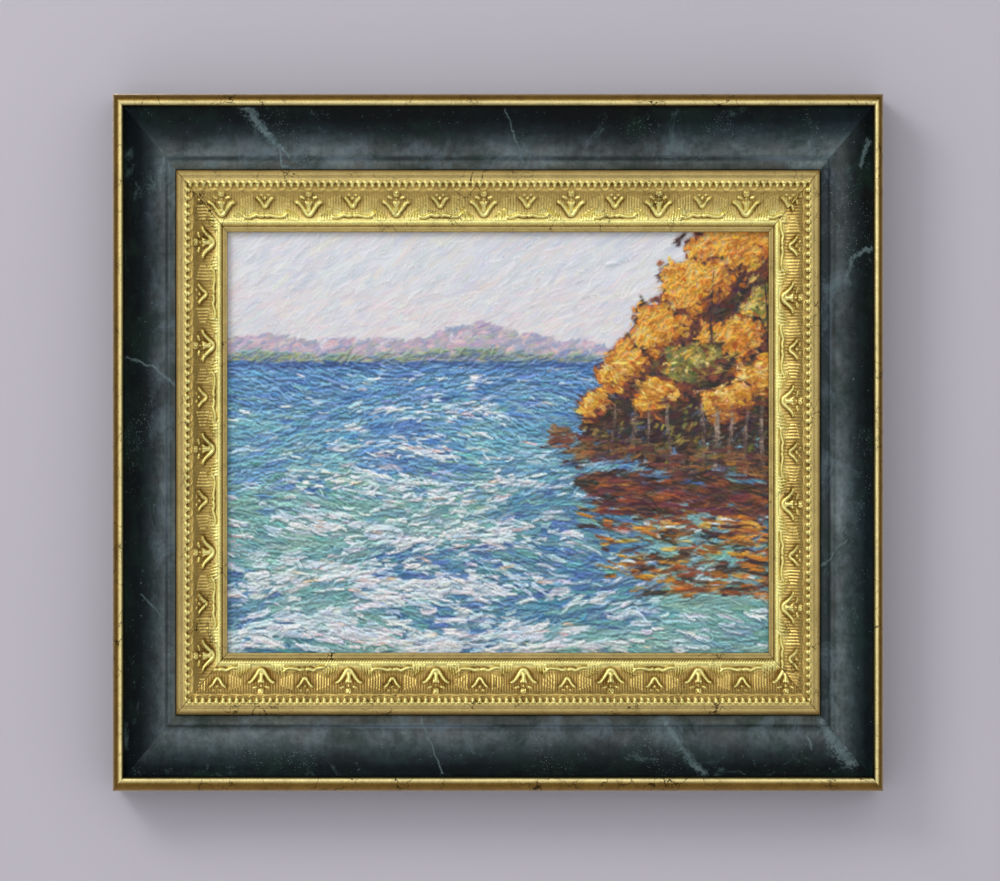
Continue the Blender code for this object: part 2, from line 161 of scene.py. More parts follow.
def add_window(name, place, target, size, watts, tint):
    """A soft rectangular light that the camera doesn't see."""
    panel = bpy.data.lights.new(name, "AREA")
    panel.shape = "RECTANGLE"
    panel.size = size[0]
    panel.size_y = size[1]
    panel.energy = watts
    panel.color = tint
    lamp = put_in_scene(name, panel)
    lamp.location = place
    lamp.rotation_euler = (Vector(target) - Vector(place)).to_track_quat("-Z", "Y").to_euler()
    lamp.visible_camera = False


add_window("window_upper_left", (-1.7, -2.2, 1.5), frame_middle, (1.1, 1.1), 26, (1.0, 0.98, 0.95))
add_window("back_window", (-1.2, 2.2, 0.9), frame_middle, (1.6, 1.2), 45, (1.0, 0.98, 0.96))

room_light = bpy.data.worlds.new("room_light")
bpy.context.scene.world = room_light
room_light.use_nodes = True
room_tree = room_light.node_tree
room_glow = room_tree.nodes["Background"]
view_direction = room_tree.nodes.new("ShaderNodeTexCoord")
split_direction = room_tree.nodes.new("ShaderNodeSeparateXYZ")
room_tree.links.new(view_direction.outputs["Generated"], split_direction.inputs["Vector"])
towards_camera = room_tree.nodes.new("ShaderNodeMapRange")
towards_camera.inputs["From Min"].default_value = 1
towards_camera.inputs["From Max"].default_value = -1
room_tree.links.new(split_direction.outputs["Y"], towards_camera.inputs["Value"])
ring = room_tree.nodes.new("ShaderNodeValToRGB")
room_tree.links.new(towards_camera.outputs["Result"], ring.inputs["Fac"])
ring_stops = [(0.0, 0.75), (0.40, 0.40), (0.52, 0.26), (0.70, 0.42), (0.85, 0.74), (0.93, 0.96), (1.0, 1.04)]
ring.color_ramp.elements[0].position = ring_stops[0][0]
ring.color_ramp.elements[1].position = ring_stops[-1][0]
for place_on_ramp, glow in ring_stops[1:-1]:
    ring.color_ramp.elements.new(place_on_ramp)
for stop, (place_on_ramp, glow) in zip(ring.color_ramp.elements, ring_stops):
    stop.position = place_on_ramp
    stop.color = (glow, glow, glow, 1)
camera_ray = room_tree.nodes.new("ShaderNodeLightPath")
seen_or_lit = room_tree.nodes.new("ShaderNodeMix")
seen_or_lit.data_type = "RGBA"
seen_or_lit.inputs["B"].default_value = plain_colour(226, 226, 230)
room_tree.links.new(camera_ray.outputs["Is Camera Ray"], seen_or_lit.inputs["Factor"])
room_tree.links.new(ring.outputs["Color"], seen_or_lit.inputs["A"])
room_tree.links.new(seen_or_lit.outputs["Result"], room_glow.inputs["Color"])
room_glow.inputs["Strength"].default_value = 1.12

# Outer moulding: four lengths of wide pine scoop moulding, mitred and glued at the corners.
# The scoop and the band inside it are painted as dark green-black marble, the rounded lip round
# the outside is gilded over a dark ground, and the back and the rabbet are bare wood.
upright_squeeze = 0.826
mitre_gap = 0.00008
fit_gap = 0.0003
lip_width = 0.0079
lip_drop = 0.0034
lip_flank = 0.0070
scoop_width = 0.0322
scoop_drop = 0.0155
scoop_power = 2.2
crease_width = 0.0005
crease_depth = 0.0006
band_width = 0.0065
band_swell = 0.0003
band_thickness = 0.0085
liner_cover = 0.006
rail_sides = ("top", "right", "bottom", "left")

lip_level = -solid_low.y
scoop_top = lip_level - lip_drop
crease_level = scoop_top - scoop_drop
band_level = crease_level + crease_depth
band_back = band_level - band_thickness
moulding_face = lip_width + scoop_width + crease_width + band_width
moulding_back = moulding_face - liner_cover


def rail_point(side, along, inward, level):
    """A point of a rail, given along it, inward from its outer edge and up from the wall.

    Seen from the front with its outer edge up, each rail runs from left to right.
    """
    along, inward, level = np.broadcast_arrays(along, inward, level)
    half_width = frame_width / 2
    half_height = frame_height / 2
    if side == "top":
        across = along
        upward = half_height - inward
    elif side == "right":
        across = half_width - inward
        upward = -along
    elif side == "bottom":
        across = -along
        upward = inward - half_height
    else:
        across = inward - half_width
        upward = along
    return np.stack([across, -level, frame_middle.z + upward], axis=-1)


def rail_reach(side, inward):
    """How far a rail runs from its middle to its mitre, at this distance inward."""
    is_level = side in ("top", "bottom")
    half_length = (frame_width if is_level else frame_height) / 2
    slope = upright_squeeze if is_level else 1 / upright_squeeze
    return half_length - inward * slope - mitre_gap / 2 * math.hypot(1, slope)


def add_rail(name, side, inward, level, columns, finish, **marks):
    """A mitred rail: rows run round its profile, columns along it, and both ends are closed.

    Marks are kept on the mesh for its finish, as a value or a colour at each point.
    """
    rows = len(inward)
    along = np.linspace(-1, 1, columns) * rail_reach(side, inward)[:, None]
    level = np.broadcast_to(level if level.ndim == 2 else level[:, None], (rows, columns))
    points = rail_point(side, along, inward[:, None], level)
    number = np.arange(rows * columns).reshape(rows, columns)
    following = np.roll(number, -1, axis=0)
    quads = np.stack([number[:, :-1], number[:, 1:], following[:, 1:], following[:, :-1]], axis=-1)
    faces = quads.reshape(-1, 4).tolist()
    faces += [number[:, 0].tolist(), number[::-1, -1].tolist()]
    mesh = bpy.data.meshes.new(name)
    mesh.from_pydata(points.reshape(-1, 3).tolist(), [], faces)
    mesh.materials.append(finish)
    mesh.shade_smooth()
    mesh.set_sharp_from_angle(angle=math.radians(48))

    # It is unrolled for baking, with its long sides as one sheet and the two ends above it.
    middle = columns // 2
    round_profile = np.column_stack([inward, level[:, middle]])
    steps = np.linalg.norm(np.roll(round_profile, -1, axis=0) - round_profile, axis=1)
    down = 0.01 + 0.85 * np.concatenate([[0], np.cumsum(steps)]) / steps.sum()
    over = np.linspace(0.01, 0.99, columns)
    sheet = np.empty((rows, columns - 1, 4, 2))
    sheet[..., (0, 3), 0] = over[None, :-1, None]
    sheet[..., (1, 2), 0] = over[None, 1:, None]
    sheet[..., (0, 1), 1] = down[:-1, None, None]
    sheet[..., (2, 3), 1] = down[1:, None, None]
    first_end = np.column_stack([0.02 + 4.5 * inward, 0.88 + 2 * level[:, 0]])
    last_end = np.column_stack([0.52 + 4.5 * inward, 0.88 + 2 * level[:, -1]])[::-1]
    unrolled = np.concatenate([sheet.reshape(-1, 2), first_end, last_end])
    mesh.uv_layers.new(name="OFBake").data.foreach_set("uv", unrolled.ravel())
    for mark, values in marks.items():
        values = np.broadcast_to(values, (rows, columns, values.shape[-1]))
        kind = "FLOAT_VECTOR" if values.shape[-1] == 3 else "FLOAT_COLOR"
        field = "vector" if values.shape[-1] == 3 else "color"
        mesh.attributes.new(mark, kind, "POINT").data.foreach_set(field, values.ravel())
    piece = put_in_scene(name, mesh)
    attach(piece, "root")
    return piece


def moulding_profile(lip_crest, lip_end):
    """The outer moulding's outline as points (inward, level), with what each is covered by.

    The lip was rounded over by hand, so its crest and its inner end differ a little by rail.
    """
    marble, gold, wood = (0, 0, 0, 1), (1, 0, 0, 1), (0, 1, 0, 1)
    flank_level = lip_level - lip_flank
    outline = [(0.0006, 0.0, wood), (0.00018, 0.00018, wood), (0.0, 0.0006, wood)]
    for rise in np.linspace(0.0012, flank_level - 0.0008, 14):
        outline.append((0.0, rise, marble))
    for turn in np.radians(np.linspace(0, 90, 17)):
        inward = lip_crest * (1 - math.cos(turn))
        level = lip_level - lip_flank * (1 - math.sin(turn))
        outline.append((inward, level, gold))
    for turn in np.radians(np.linspace(0, 90, 12))[1:]:
        inward = lip_crest + (lip_end - lip_crest) * math.sin(turn)
        outline.append((inward, scoop_top + lip_drop * math.cos(turn), gold))
    for share in np.linspace((lip_end - lip_width) / scoop_width, 1, 38)[1:]:
        level = crease_level + scoop_drop * (1 - share) ** scoop_power
        outline.append((lip_width + scoop_width * share, level, marble))
    band_start = lip_width + scoop_width + crease_width
    for share in np.linspace(0, 0.94, 9):
        level = band_level + 4 * band_swell * share * (1 - share)
        outline.append((band_start + band_width * share, level, marble))
    outline.append((moulding_face - 0.00012, band_level - 0.00008, marble))
    outline.append((moulding_face, band_level - 0.0004, marble))
    outline.append((moulding_face, band_level - 0.0035, marble))
    outline.append((moulding_face, band_back, wood))
    outline.append((moulding_back, band_back, wood))
    for level in np.linspace(band_back, 0, 6)[1:]:
        outline.append((moulding_back, level, wood))
    for inward in np.linspace(moulding_back, 0.0006, 8)[1:-1]:
        outline.append((inward, 0.0, wood))
    return outline


def smooth_noise(random, shape, cell, octaves=4):
    """Soft random hills over a grid, from -1 to 1, with bumps about a cell across."""
    field = np.zeros(shape)
    strength = 1.0
    total = 0.0
    for octave in range(octaves):
        size = max(cell / 2 ** octave, 2)
        knots = random.uniform(-1, 1, (int(shape[0] / size) + 3, int(shape[1] / size) + 3))
        row = np.arange(shape[0]) / size
        column = np.arange(shape[1]) / size
        row_cell = row.astype(int)
        column_cell = column.astype(int)
        row_part = (row - row_cell)[:, None]
        column_part = (column - column_cell)[None, :]
        row_part = row_part * row_part * (3 - 2 * row_part)
        column_part = column_part * column_part * (3 - 2 * column_part)
        upper = knots[row_cell][:, column_cell] * (1 - column_part)
        upper += knots[row_cell][:, column_cell + 1] * column_part
        lower = knots[row_cell + 1][:, column_cell] * (1 - column_part)
        lower += knots[row_cell + 1][:, column_cell + 1] * column_part
        field += strength * (upper * (1 - row_part) + lower * row_part)
        total += strength
        strength *= 0.5
    return field / total


def add_node(tree, kind, sockets=None, **settings):
    """One node of a finish. A socket takes a plain value or the output that feeds it."""
    node = tree.nodes.new("ShaderNode" + kind)
    for setting, value in settings.items():
        setattr(node, setting, value)
    for socket, value in (sockets or {}).items():
        if isinstance(value, bpy.types.NodeSocket):
            tree.links.new(value, node.inputs[socket])
        else:
            node.inputs[socket].default_value = value
    return node


def remap(tree, value, low, high, new_low=0.0, new_high=1.0):
    """A value stretched from one range to another and held inside it."""
    sockets = {"Value": value, "From Min": low, "From Max": high, "To Min": new_low, "To Max": new_high}
    return add_node(tree, "MapRange", sockets).outputs["Result"]


def combine(tree, operation, first, *others):
    """Values put together in turn by a sum, a product, a division or the larger of two."""
    for other in others:
        first = add_node(tree, "Math", {0: first, 1: other}, operation=operation).outputs["Value"]
    return first


def sine(tree, value):
    """An even wave from -1 to 1 over a value."""
    return add_node(tree, "Math", {0: value}, operation="SINE").outputs["Value"]


def combine_places(tree, operation, first, second):
    """Two places put together by a sum, a difference or a product."""
    return add_node(tree, "VectorMath", {0: first, 1: second}, operation=operation).outputs["Vector"]


def scaled(tree, place, size):
    """A place multiplied by one number."""
    return add_node(tree, "VectorMath", {0: place, "Scale": size}, operation="SCALE").outputs["Vector"]


def mesh_mark(tree, name, kind):
    """A value or a colour that is kept on the mesh at each point."""
    return add_node(tree, "Attribute", attribute_name=name).outputs[kind]


def mix_value(tree, mask, first, second):
    """Two values mixed by a mask."""
    return add_node(tree, "Mix", {"Factor": mask, "A": first, "B": second}).outputs["Result"]


def bump(tree, height, strength, distance):
    """The slopes that a fine height gives to the surface."""
    sockets = {"Height": height, "Strength": strength, "Distance": distance}
    return add_node(tree, "Bump", sockets).outputs["Normal"]


def feed(tree, node, **values):
    """Values led into the sockets of a node, named with _ for a space."""
    for socket, value in values.items():
        tree.links.new(value, node.inputs[socket.replace("_", " ")])


def mix_colour(tree, mask, first, second, blend_type="MIX"):
    """Two colours mixed by a mask."""
    sockets = {"Factor": mask, "A": first, "B": second}
    return add_node(tree, "Mix", sockets, data_type="RGBA", blend_type=blend_type).outputs["Result"]


def colour_steps(tree, value, stops):
    """A run of colours over a value from 0 to 1, from stops of (place, colour)."""
    node = add_node(tree, "ValToRGB", {"Fac": value})
    ramp = node.color_ramp
    ramp.elements[0].position = stops[0][0]
    ramp.elements[1].position = stops[-1][0]
    for position, colour in stops[1:-1]:
        ramp.elements.new(position)
    for stop, (position, colour) in zip(ramp.elements, stops):
        stop.color = colour
    return node.outputs["Color"]


def noise(tree, place, scale, detail=4.0, roughness=0.55, distortion=0.0):
    """Soft random clouds from 0 to 1, smaller as the scale grows."""
    sockets = {"Vector": place, "Scale": scale, "Detail": detail, "Roughness": roughness,
               "Distortion": distortion}
    return add_node(tree, "TexNoise", sockets).outputs["Fac"]


def stretched(tree, place, scale):
    """The same place on the surface, stretched unevenly for a streaky effect."""
    return add_node(tree, "Mapping", {"Vector": place, "Scale": scale}).outputs["Vector"]


def new_group(name, takes, gives):
    """A shared effect: its tree, what it is given, and the node that hands out its results."""
    group = bpy.data.node_groups.new(name, "ShaderNodeTree")
    for socket, kind, value in takes:
        made = group.interface.new_socket(socket, in_out="INPUT", socket_type="NodeSocket" + kind)
        if value is not None:
            made.default_value = value
    for socket, kind in gives:
        group.interface.new_socket(socket, in_out="OUTPUT", socket_type="NodeSocket" + kind)
    given = group.nodes.new("NodeGroupInput")
    result = group.nodes.new("NodeGroupOutput")
    return group, given.outputs, result


def put_group(tree, group, sockets):
    """A shared effect placed in a finish with its own values."""
    return add_node(tree, "Group", sockets, node_tree=group).outputs


# Fine cracks: thin dark lines where gesso and gilding have crazed, in patches rather than all over.
crack_group, crack_given, crack_result = new_group(
    "fine_cracks",
    [("Place", "Vector", None), ("Scale", "Float", 40.0), ("Width", "Float", 0.01),
     ("Spread", "Float", 0.5)],
    [("Cracks", "Float")],
)
wander = add_node(crack_group, "TexNoise", {"Vector": crack_given["Place"], "Scale": 160.0, "Detail": 3.0})
pull = combine_places(crack_group, "SUBTRACT", wander.outputs["Color"], (0.5, 0.5, 0.5))
cracked_place = combine_places(crack_group, "ADD", crack_given["Place"], scaled(crack_group, pull, 0.013))
cells = add_node(crack_group, "TexVoronoi", {"Vector": cracked_place, "Scale": crack_given["Scale"]},
                 feature="DISTANCE_TO_EDGE")
crack_line = remap(crack_group, cells.outputs["Distance"], 0.0, crack_given["Width"], 1.8, 0.0)
patches = noise(crack_group, crack_given["Place"], 34.0, 3.0, 0.6)
cracked_patches = remap(crack_group, patches, crack_given["Spread"], 0.72)
cracks = combine(crack_group, "MULTIPLY", crack_line, cracked_patches)
feed(crack_group, crack_result, Cracks=cracks)

# Gilding: leaf over red clay and gesso, toned brown in the hollows. The leaf colour it is given carries
# painted highlights and painted shade, with the rubbing of the high places.
gilding_group, gilding_given, gilding_result = new_group(
    "aged_gilding",
    [("Place", "Vector", None), ("Leaf", "Color", plain_colour(235, 205, 130)),
     ("Toning", "Color", plain_colour(110, 70, 30)), ("Hollows", "Float", 0.0),
     ("Cracks", "Float", 0.0)],
    [("Colour", "Color"), ("Roughness", "Float"), ("Height", "Float")],
)
leaf_cloud = noise(gilding_group, gilding_given["Place"], 60.0, 6.0, 0.78)
leaf_grain = noise(gilding_group, gilding_given["Place"], 900.0, 2.0, 0.6)
leaf_shade = remap(gilding_group, leaf_cloud, 0.3, 0.7, 0.78, 1.14)
leaf_speck = remap(gilding_group, leaf_grain, 0.3, 0.7, 0.80, 1.12)
leaf_light = combine(gilding_group, "MULTIPLY", leaf_shade, leaf_speck)
shaded_leaf = mix_colour(gilding_group, 1.0, gilding_given["Leaf"], leaf_light, "MULTIPLY")
toning_cloud = noise(gilding_group, gilding_given["Place"], 90.0, 4.0, 0.6)
toning_patches = remap(gilding_group, toning_cloud, 0.3, 0.7, 0.45, 1.25)
toning_amount = combine(gilding_group, "MULTIPLY", gilding_given["Hollows"], toning_patches)
toning_held = remap(gilding_group, toning_amount, 0.0, 1.0)
toned_leaf = mix_colour(gilding_group, toning_held, shaded_leaf, gilding_given["Toning"])
cracked_leaf = mix_colour(gilding_group, gilding_given["Cracks"], toned_leaf, plain_colour(38, 24, 12))
rough_grain = remap(gilding_group, leaf_grain, 0.3, 0.7, 0.30, 0.44)
rough_leaf = combine(gilding_group, "ADD", rough_grain,
                     remap(gilding_group, gilding_given["Hollows"], 0.0, 1.0, 0.0, 0.2))
height_grain = remap(gilding_group, leaf_grain, 0.0, 1.0, 0.0, 0.3)
feed(gilding_group, gilding_result, Colour=cracked_leaf, Roughness=rough_leaf, Height=height_grain)

# A vein: one brushed line of pale glaze between two points of the marbling, ragged at its edges.
vein_group, vein_given, vein_result = new_group(
    "marble_vein",
    [("Place", "Vector", None), ("Start", "Vector", None), ("End", "Vector", None),
     ("Width", "Float", 0.001), ("Ragged", "Float", 1.0)],
    [("Vein", "Float")],
)
whole = combine_places(vein_group, "SUBTRACT", vein_given["End"], vein_given["Start"])
reached = combine_places(vein_group, "SUBTRACT", vein_given["Place"], vein_given["Start"])
along_vein = add_node(vein_group, "VectorMath", {0: reached, 1: whole}, operation="DOT_PRODUCT")
vein_square = add_node(vein_group, "VectorMath", {0: whole, 1: whole}, operation="DOT_PRODUCT")
share = add_node(vein_group, "Math", {0: along_vein.outputs["Value"], 1: vein_square.outputs["Value"]},
                 operation="DIVIDE", use_clamp=True)
nearest = scaled(vein_group, whole, share.outputs["Value"])
away = add_node(vein_group, "VectorMath", {0: reached, 1: nearest}, operation="DISTANCE")
ragged_width = combine(vein_group, "MULTIPLY", vein_given["Width"], vein_given["Ragged"])
vein_edge = combine(vein_group, "DIVIDE", away.outputs["Value"], ragged_width)
feed(vein_group, vein_result, Vein=remap(vein_group, vein_edge, 0.4, 1.2, 1.0, 0.0))

marbled, marbled_tree, marbled_shader = new_material("marbled_moulding", plain_colour(30, 38, 40), 0.4)
rail_place = mesh_mark(marbled_tree, "rail_place", "Vector")
place_parts = add_node(marbled_tree, "SeparateXYZ", {"Vector": rail_place}).outputs
# The cover mark is red on the gilt lip, green on bare wood, and blue by how far out the scoop's painted
# shade gives way to paler paint.
cover_mark = mesh_mark(marbled_tree, "rail_cover", "Color")
cover_parts = add_node(marbled_tree, "SeparateColor", {"Color": cover_mark}).outputs

# Painted shade: the scoop is painted near black by the lip, where it is steep, and lighter towards the flat
# band, with a darker dip at the crease. Each rail's painted shade reaches a little further or less far.
across_scoop = remap(marbled_tree, place_parts["Y"], lip_width, moulding_face)
scoop_shade_shift = remap(marbled_tree, cover_parts["Blue"], 0.0, 1.0, -0.12, 0.12)
scoop_painted_shade = colour_steps(marbled_tree, combine(marbled_tree, "ADD", across_scoop, scoop_shade_shift), [
    (0.0, plain_colour(4, 12, 15)),
    (0.26, plain_colour(8, 20, 24)),
    (0.42, plain_colour(32, 44, 48)),
    (0.56, plain_colour(56, 68, 71)),
    (0.70, plain_colour(82, 92, 94)),
    (0.79, plain_colour(88, 98, 100)),
    (0.845, plain_colour(66, 76, 77)),
    (0.93, plain_colour(88, 96, 94)),
    (1.0, plain_colour(76, 82, 76)),
])
crease_line = colour_steps(marbled_tree, across_scoop, [
    (0.770, (0.0, 0.0, 0.0, 1.0)),
    (0.805, (1.0, 1.0, 1.0, 1.0)),
    (0.842, (1.0, 1.0, 1.0, 1.0)),
    (0.880, (0.0, 0.0, 0.0, 1.0)),
])
cloud = noise(marbled_tree, stretched(marbled_tree, rail_place, (15.0, 28.0, 28.0)), 1.0, 5.0, 0.62, 0.5)
brushed = noise(marbled_tree, stretched(marbled_tree, rail_place, (330.0, 26.0, 26.0)), 1.0, 4.0, 0.6)
mottle = noise(marbled_tree, rail_place, 190.0, 5.0, 0.65)
cloud_light = remap(marbled_tree, cloud, 0.3, 0.7, 0.48, 1.46)
brushed_light = remap(marbled_tree, brushed, 0.3, 0.7, 0.86, 1.14)
mottle_light = remap(marbled_tree, mottle, 0.3, 0.7, 0.62, 1.38)
drift = noise(marbled_tree, rail_place, 8.0, 3.0, 0.5)
drift_light = remap(marbled_tree, drift, 0.34, 0.66, 0.55, 1.30)
marble_light = combine(marbled_tree, "MULTIPLY", cloud_light, brushed_light, drift_light, mottle_light)
clouded = mix_colour(marbled_tree, 1.0, scoop_painted_shade, marble_light, "MULTIPLY")
warm_cloud = noise(marbled_tree, rail_place, 36.0, 4.0, 0.6)
near_crease = remap(marbled_tree, across_scoop, 0.42, 0.72)
warm_patches = remap(marbled_tree, warm_cloud, 0.50, 0.68, 0.0, 0.55)
warm_mask = combine(marbled_tree, "MULTIPLY", warm_patches, near_crease)
warmed = mix_colour(marbled_tree, warm_mask, clouded, plain_colour(86, 84, 84))
# Painted shade and painted highlight along the crease: a dark line in places and a pale bluish line in
# others.
crease_cloud = remap(marbled_tree, noise(marbled_tree, rail_place, 9.0, 3.0, 0.6), 0.50, 0.66)
crease_shade_and_highlight = mix_colour(marbled_tree, crease_cloud, plain_colour(30, 39, 41), plain_colour(94, 110, 122))
crease_mask = combine(marbled_tree, "MULTIPLY", crease_line, 0.66)
crease_lit = mix_colour(marbled_tree, crease_mask, warmed, crease_shade_and_highlight)
on_band = remap(marbled_tree, across_scoop, 0.78, 0.84, 0.0, 0.80)
banded = remap(marbled_tree, cover_parts["Blue"], 0.85, 0.95)
dark_band = combine(marbled_tree, "MULTIPLY", banded, on_band)
marble_base = mix_colour(marbled_tree, dark_band, crease_lit, plain_colour(28, 40, 47))
green_cloud = noise(marbled_tree, rail_place, 40.0, 4.0, 0.65)
green_mask = remap(marbled_tree, green_cloud, 0.50, 0.66, 0.0, 0.55)
greened = mix_colour(marbled_tree, green_mask, marble_base, plain_colour(20, 44, 35))
scattered = add_node(marbled_tree, "TexVoronoi", {"Vector": rail_place, "Scale": 560.0})
dot_mask = remap(marbled_tree, scattered.outputs["Distance"], 0.10, 0.24, 1.0, 0.0)
dot_patches = remap(marbled_tree, noise(marbled_tree, rail_place, 24.0, 2.0, 0.5), 0.61, 0.70)
glaze_cloud = noise(marbled_tree, rail_place, 30.0, 7.0, 0.78, 0.8)
glaze_mask = remap(marbled_tree, glaze_cloud, 0.60, 0.70, 0.0, 0.5)
haze_cloud = remap(marbled_tree, glaze_cloud, 0.50, 0.62, 0.0, 0.34)
haze_mask = combine(marbled_tree, "MULTIPLY", haze_cloud, near_crease)
hazed = mix_colour(marbled_tree, haze_mask, greened, plain_colour(112, 132, 144))
glazed = mix_colour(marbled_tree, glaze_mask, hazed, plain_colour(88, 112, 112))

# Each vein is the start and end on its rail, as (along, inward), then its width and how much it covers.
rail_spacing = 1.0
vein_list = {
    "top": [(-0.159, 0.009, -0.148, 0.021, 0.0030, 0.8), (-0.148, 0.021, -0.141, 0.031, 0.0025, 0.8),
            (-0.141, 0.031, -0.132, 0.039, 0.0010, 0.8), (-0.141, 0.032, -0.135, 0.046, 0.0007, 0.8),
            (-0.136, 0.045, -0.128, 0.0465, 0.0012, 0.7), (0.004, 0.010, 0.017, 0.044, 0.0007, 0.6),
            (0.186, 0.046, 0.205, 0.041, 0.0032, 0.4), (0.205, 0.041, 0.214, 0.032, 0.0022, 0.4),
            (0.196, 0.029, 0.1965, 0.033, 0.0007, 0.6)],
    "right": [(-0.104, 0.010, -0.0975, 0.024, 0.0014, 0.6), (-0.0975, 0.024, -0.090, 0.027, 0.0017, 0.5),
              (-0.160, 0.011, -0.148, 0.017, 0.0019, 0.6), (0.052, 0.026, 0.066, 0.046, 0.0007, 0.5),
              (-0.168, 0.036, -0.150, 0.041, 0.0040, 0.35)],
    "bottom": [(0.049, 0.047, 0.035, 0.010, 0.0008, 0.6), (-0.104, 0.046, -0.116, 0.026, 0.0022, 0.6),
               (-0.116, 0.026, -0.129, 0.010, 0.0028, 0.55), (-0.100, 0.042, -0.112, 0.028, 0.0060, 0.25),
               (-0.204, 0.044, -0.222, 0.018, 0.0046, 0.65), (-0.196, 0.033, -0.198, 0.028, 0.0010, 0.6)],
    "left": [(0.046, 0.012, 0.040, 0.030, 0.0009, 0.6), (0.040, 0.030, 0.031, 0.046, 0.0008, 0.6),
             (0.138, 0.030, 0.148, 0.045, 0.0042, 0.45), (-0.092, 0.036, -0.082, 0.020, 0.0008, 0.5)],
}
# Splashes of fine dots, as the middle line of each and how far it spreads.
splash_list = {
    "top": [(-0.142, 0.012, -0.122, 0.036, 0.0100), (0.196, 0.012, 0.204, 0.032, 0.0060)],
    "right": [(-0.120, 0.014, -0.098, 0.026, 0.0080), (0.020, 0.012, 0.050, 0.020, 0.0050)],
    "bottom": [(-0.086, 0.040, -0.104, 0.014, 0.0120), (0.150, 0.020, 0.170, 0.030, 0.0070)],
    "left": [(-0.010, 0.014, 0.020, 0.026, 0.0070)],
}
bend_noise = add_node(marbled_tree, "TexNoise", {"Vector": rail_place, "Scale": 75.0, "Detail": 4.0})
bend_shift = combine_places(marbled_tree, "SUBTRACT", bend_noise.outputs["Color"], (0.5, 0.5, 0.5))
bent_place = combine_places(marbled_tree, "ADD", rail_place, scaled(marbled_tree, bend_shift, 0.009))
flat_bent = combine_places(marbled_tree, "MULTIPLY", bent_place, (1.0, 1.0, 0.0))
ragged = noise(marbled_tree, flat_bent, 520.0, 3.0, 0.7)
ragged_share = remap(marbled_tree, ragged, 0.32, 0.68, 0.0, 1.8)


def brushed_line(number, start_along, start_inward, end_along, end_inward, width):
    """The mask of one vein on the numbered rail."""
    return put_group(marbled_tree, vein_group, {
        "Place": flat_bent,
        "Start": (start_along + number * rail_spacing, start_inward, 0.0),
        "End": (end_along + number * rail_spacing, end_inward, 0.0),
        "Width": width,
        "Ragged": ragged_share,
    })["Vein"]


veins = 0.0
splashes = dot_patches
for number, side in enumerate(rail_sides):
    for *line_and_width, strength in vein_list[side]:
        vein = combine(marbled_tree, "MULTIPLY", brushed_line(number, *line_and_width), strength)
        veins = combine(marbled_tree, "MAXIMUM", veins, vein)
    for splash in splash_list[side]:
        splashes = combine(marbled_tree, "MAXIMUM", splashes, brushed_line(number, *splash))
dots = combine(marbled_tree, "MULTIPLY", dot_mask, splashes)
dot_strength = combine(marbled_tree, "MULTIPLY", dots, 0.65)
dotted = mix_colour(marbled_tree, dot_strength, glazed, plain_colour(120, 138, 142))
vein_tint = mix_colour(marbled_tree, remap(marbled_tree, mottle, 0.35, 0.65), plain_colour(76, 96, 98),
                       plain_colour(118, 138, 142))
veined = mix_colour(marbled_tree, veins, dotted, vein_tint)

lip_cracks = put_group(marbled_tree, crack_group, {
    "Place": rail_place, "Scale": 58.0, "Width": 0.026, "Spread": 0.44})["Cracks"]
across_lip = remap(marbled_tree, place_parts["Y"], 0.0, lip_width)
# Painted light on the lip's leaf: a painted highlight along its crest, and darker brown towards the outer
# edge and towards the scoop.
lip_leaf_with_highlight = colour_steps(marbled_tree, across_lip, [
    (0.0, plain_colour(150, 120, 66)),
    (0.36, plain_colour(128, 97, 42)),
    (0.46, plain_colour(142, 114, 56)),
    (0.54, plain_colour(204, 183, 122)),
    (0.62, plain_colour(240, 223, 158)),
    (0.72, plain_colour(246, 232, 168)),
    (0.82, plain_colour(200, 184, 124)),
    (0.91, plain_colour(132, 120, 76)),
    (1.0, plain_colour(58, 54, 36)),
])
lip_gilding = put_group(marbled_tree, gilding_group, {
    "Place": rail_place,
    "Leaf": lip_leaf_with_highlight,
    "Toning": plain_colour(84, 58, 24),
    "Hollows": remap(marbled_tree, mottle, 0.56, 0.70, 0.0, 0.5),
    "Cracks": lip_cracks,
})

# Bare wood: straight pine grain with darker late wood, greyed a little with age.
grain_group, grain_given, grain_result = new_group(
    "pine_grain",
    [("Place", "Vector", None), ("Pale", "Color", plain_colour(204, 174, 128)),
     ("Dark", "Color", plain_colour(166, 122, 76))],
    [("Colour", "Color"), ("Roughness", "Float"), ("Height", "Float")],
)
ring_place = stretched(grain_group, grain_given["Place"], (1.3, 46.0, 46.0))
ring_wander = noise(grain_group, ring_place, 1.0, 4.0, 0.5, 0.4)
rings = sine(grain_group, combine(grain_group, "MULTIPLY", ring_wander, 58.0))
ring_mask = remap(grain_group, rings, -0.6, 1.0)
fibre_place = stretched(grain_group, grain_given["Place"], (34.0, 1500.0, 1500.0))
fibre = noise(grain_group, fibre_place, 1.0, 2.0, 0.6)
fibre_mask = remap(grain_group, fibre, 0.3, 0.7)
late_wood = combine(grain_group, "MULTIPLY", ring_mask, 0.50)
wood_lines = combine(grain_group, "ADD", late_wood, combine(grain_group, "MULTIPLY", fibre_mask, 0.45))
wood_mask = remap(grain_group, wood_lines, 0.0, 1.0)
wood_colour = mix_colour(grain_group, wood_mask, grain_given["Pale"], grain_given["Dark"])
grime = remap(grain_group, noise(grain_group, grain_given["Place"], 19.0, 5.0, 0.6), 0.42, 0.75, 0.0, 0.4)
aged_wood = mix_colour(grain_group, grime, wood_colour, plain_colour(112, 88, 62))
rough_wood = remap(grain_group, fibre, 0.3, 0.7, 0.62, 0.82)
feed(grain_group, grain_result, Colour=aged_wood, Roughness=rough_wood, Height=fibre_mask)

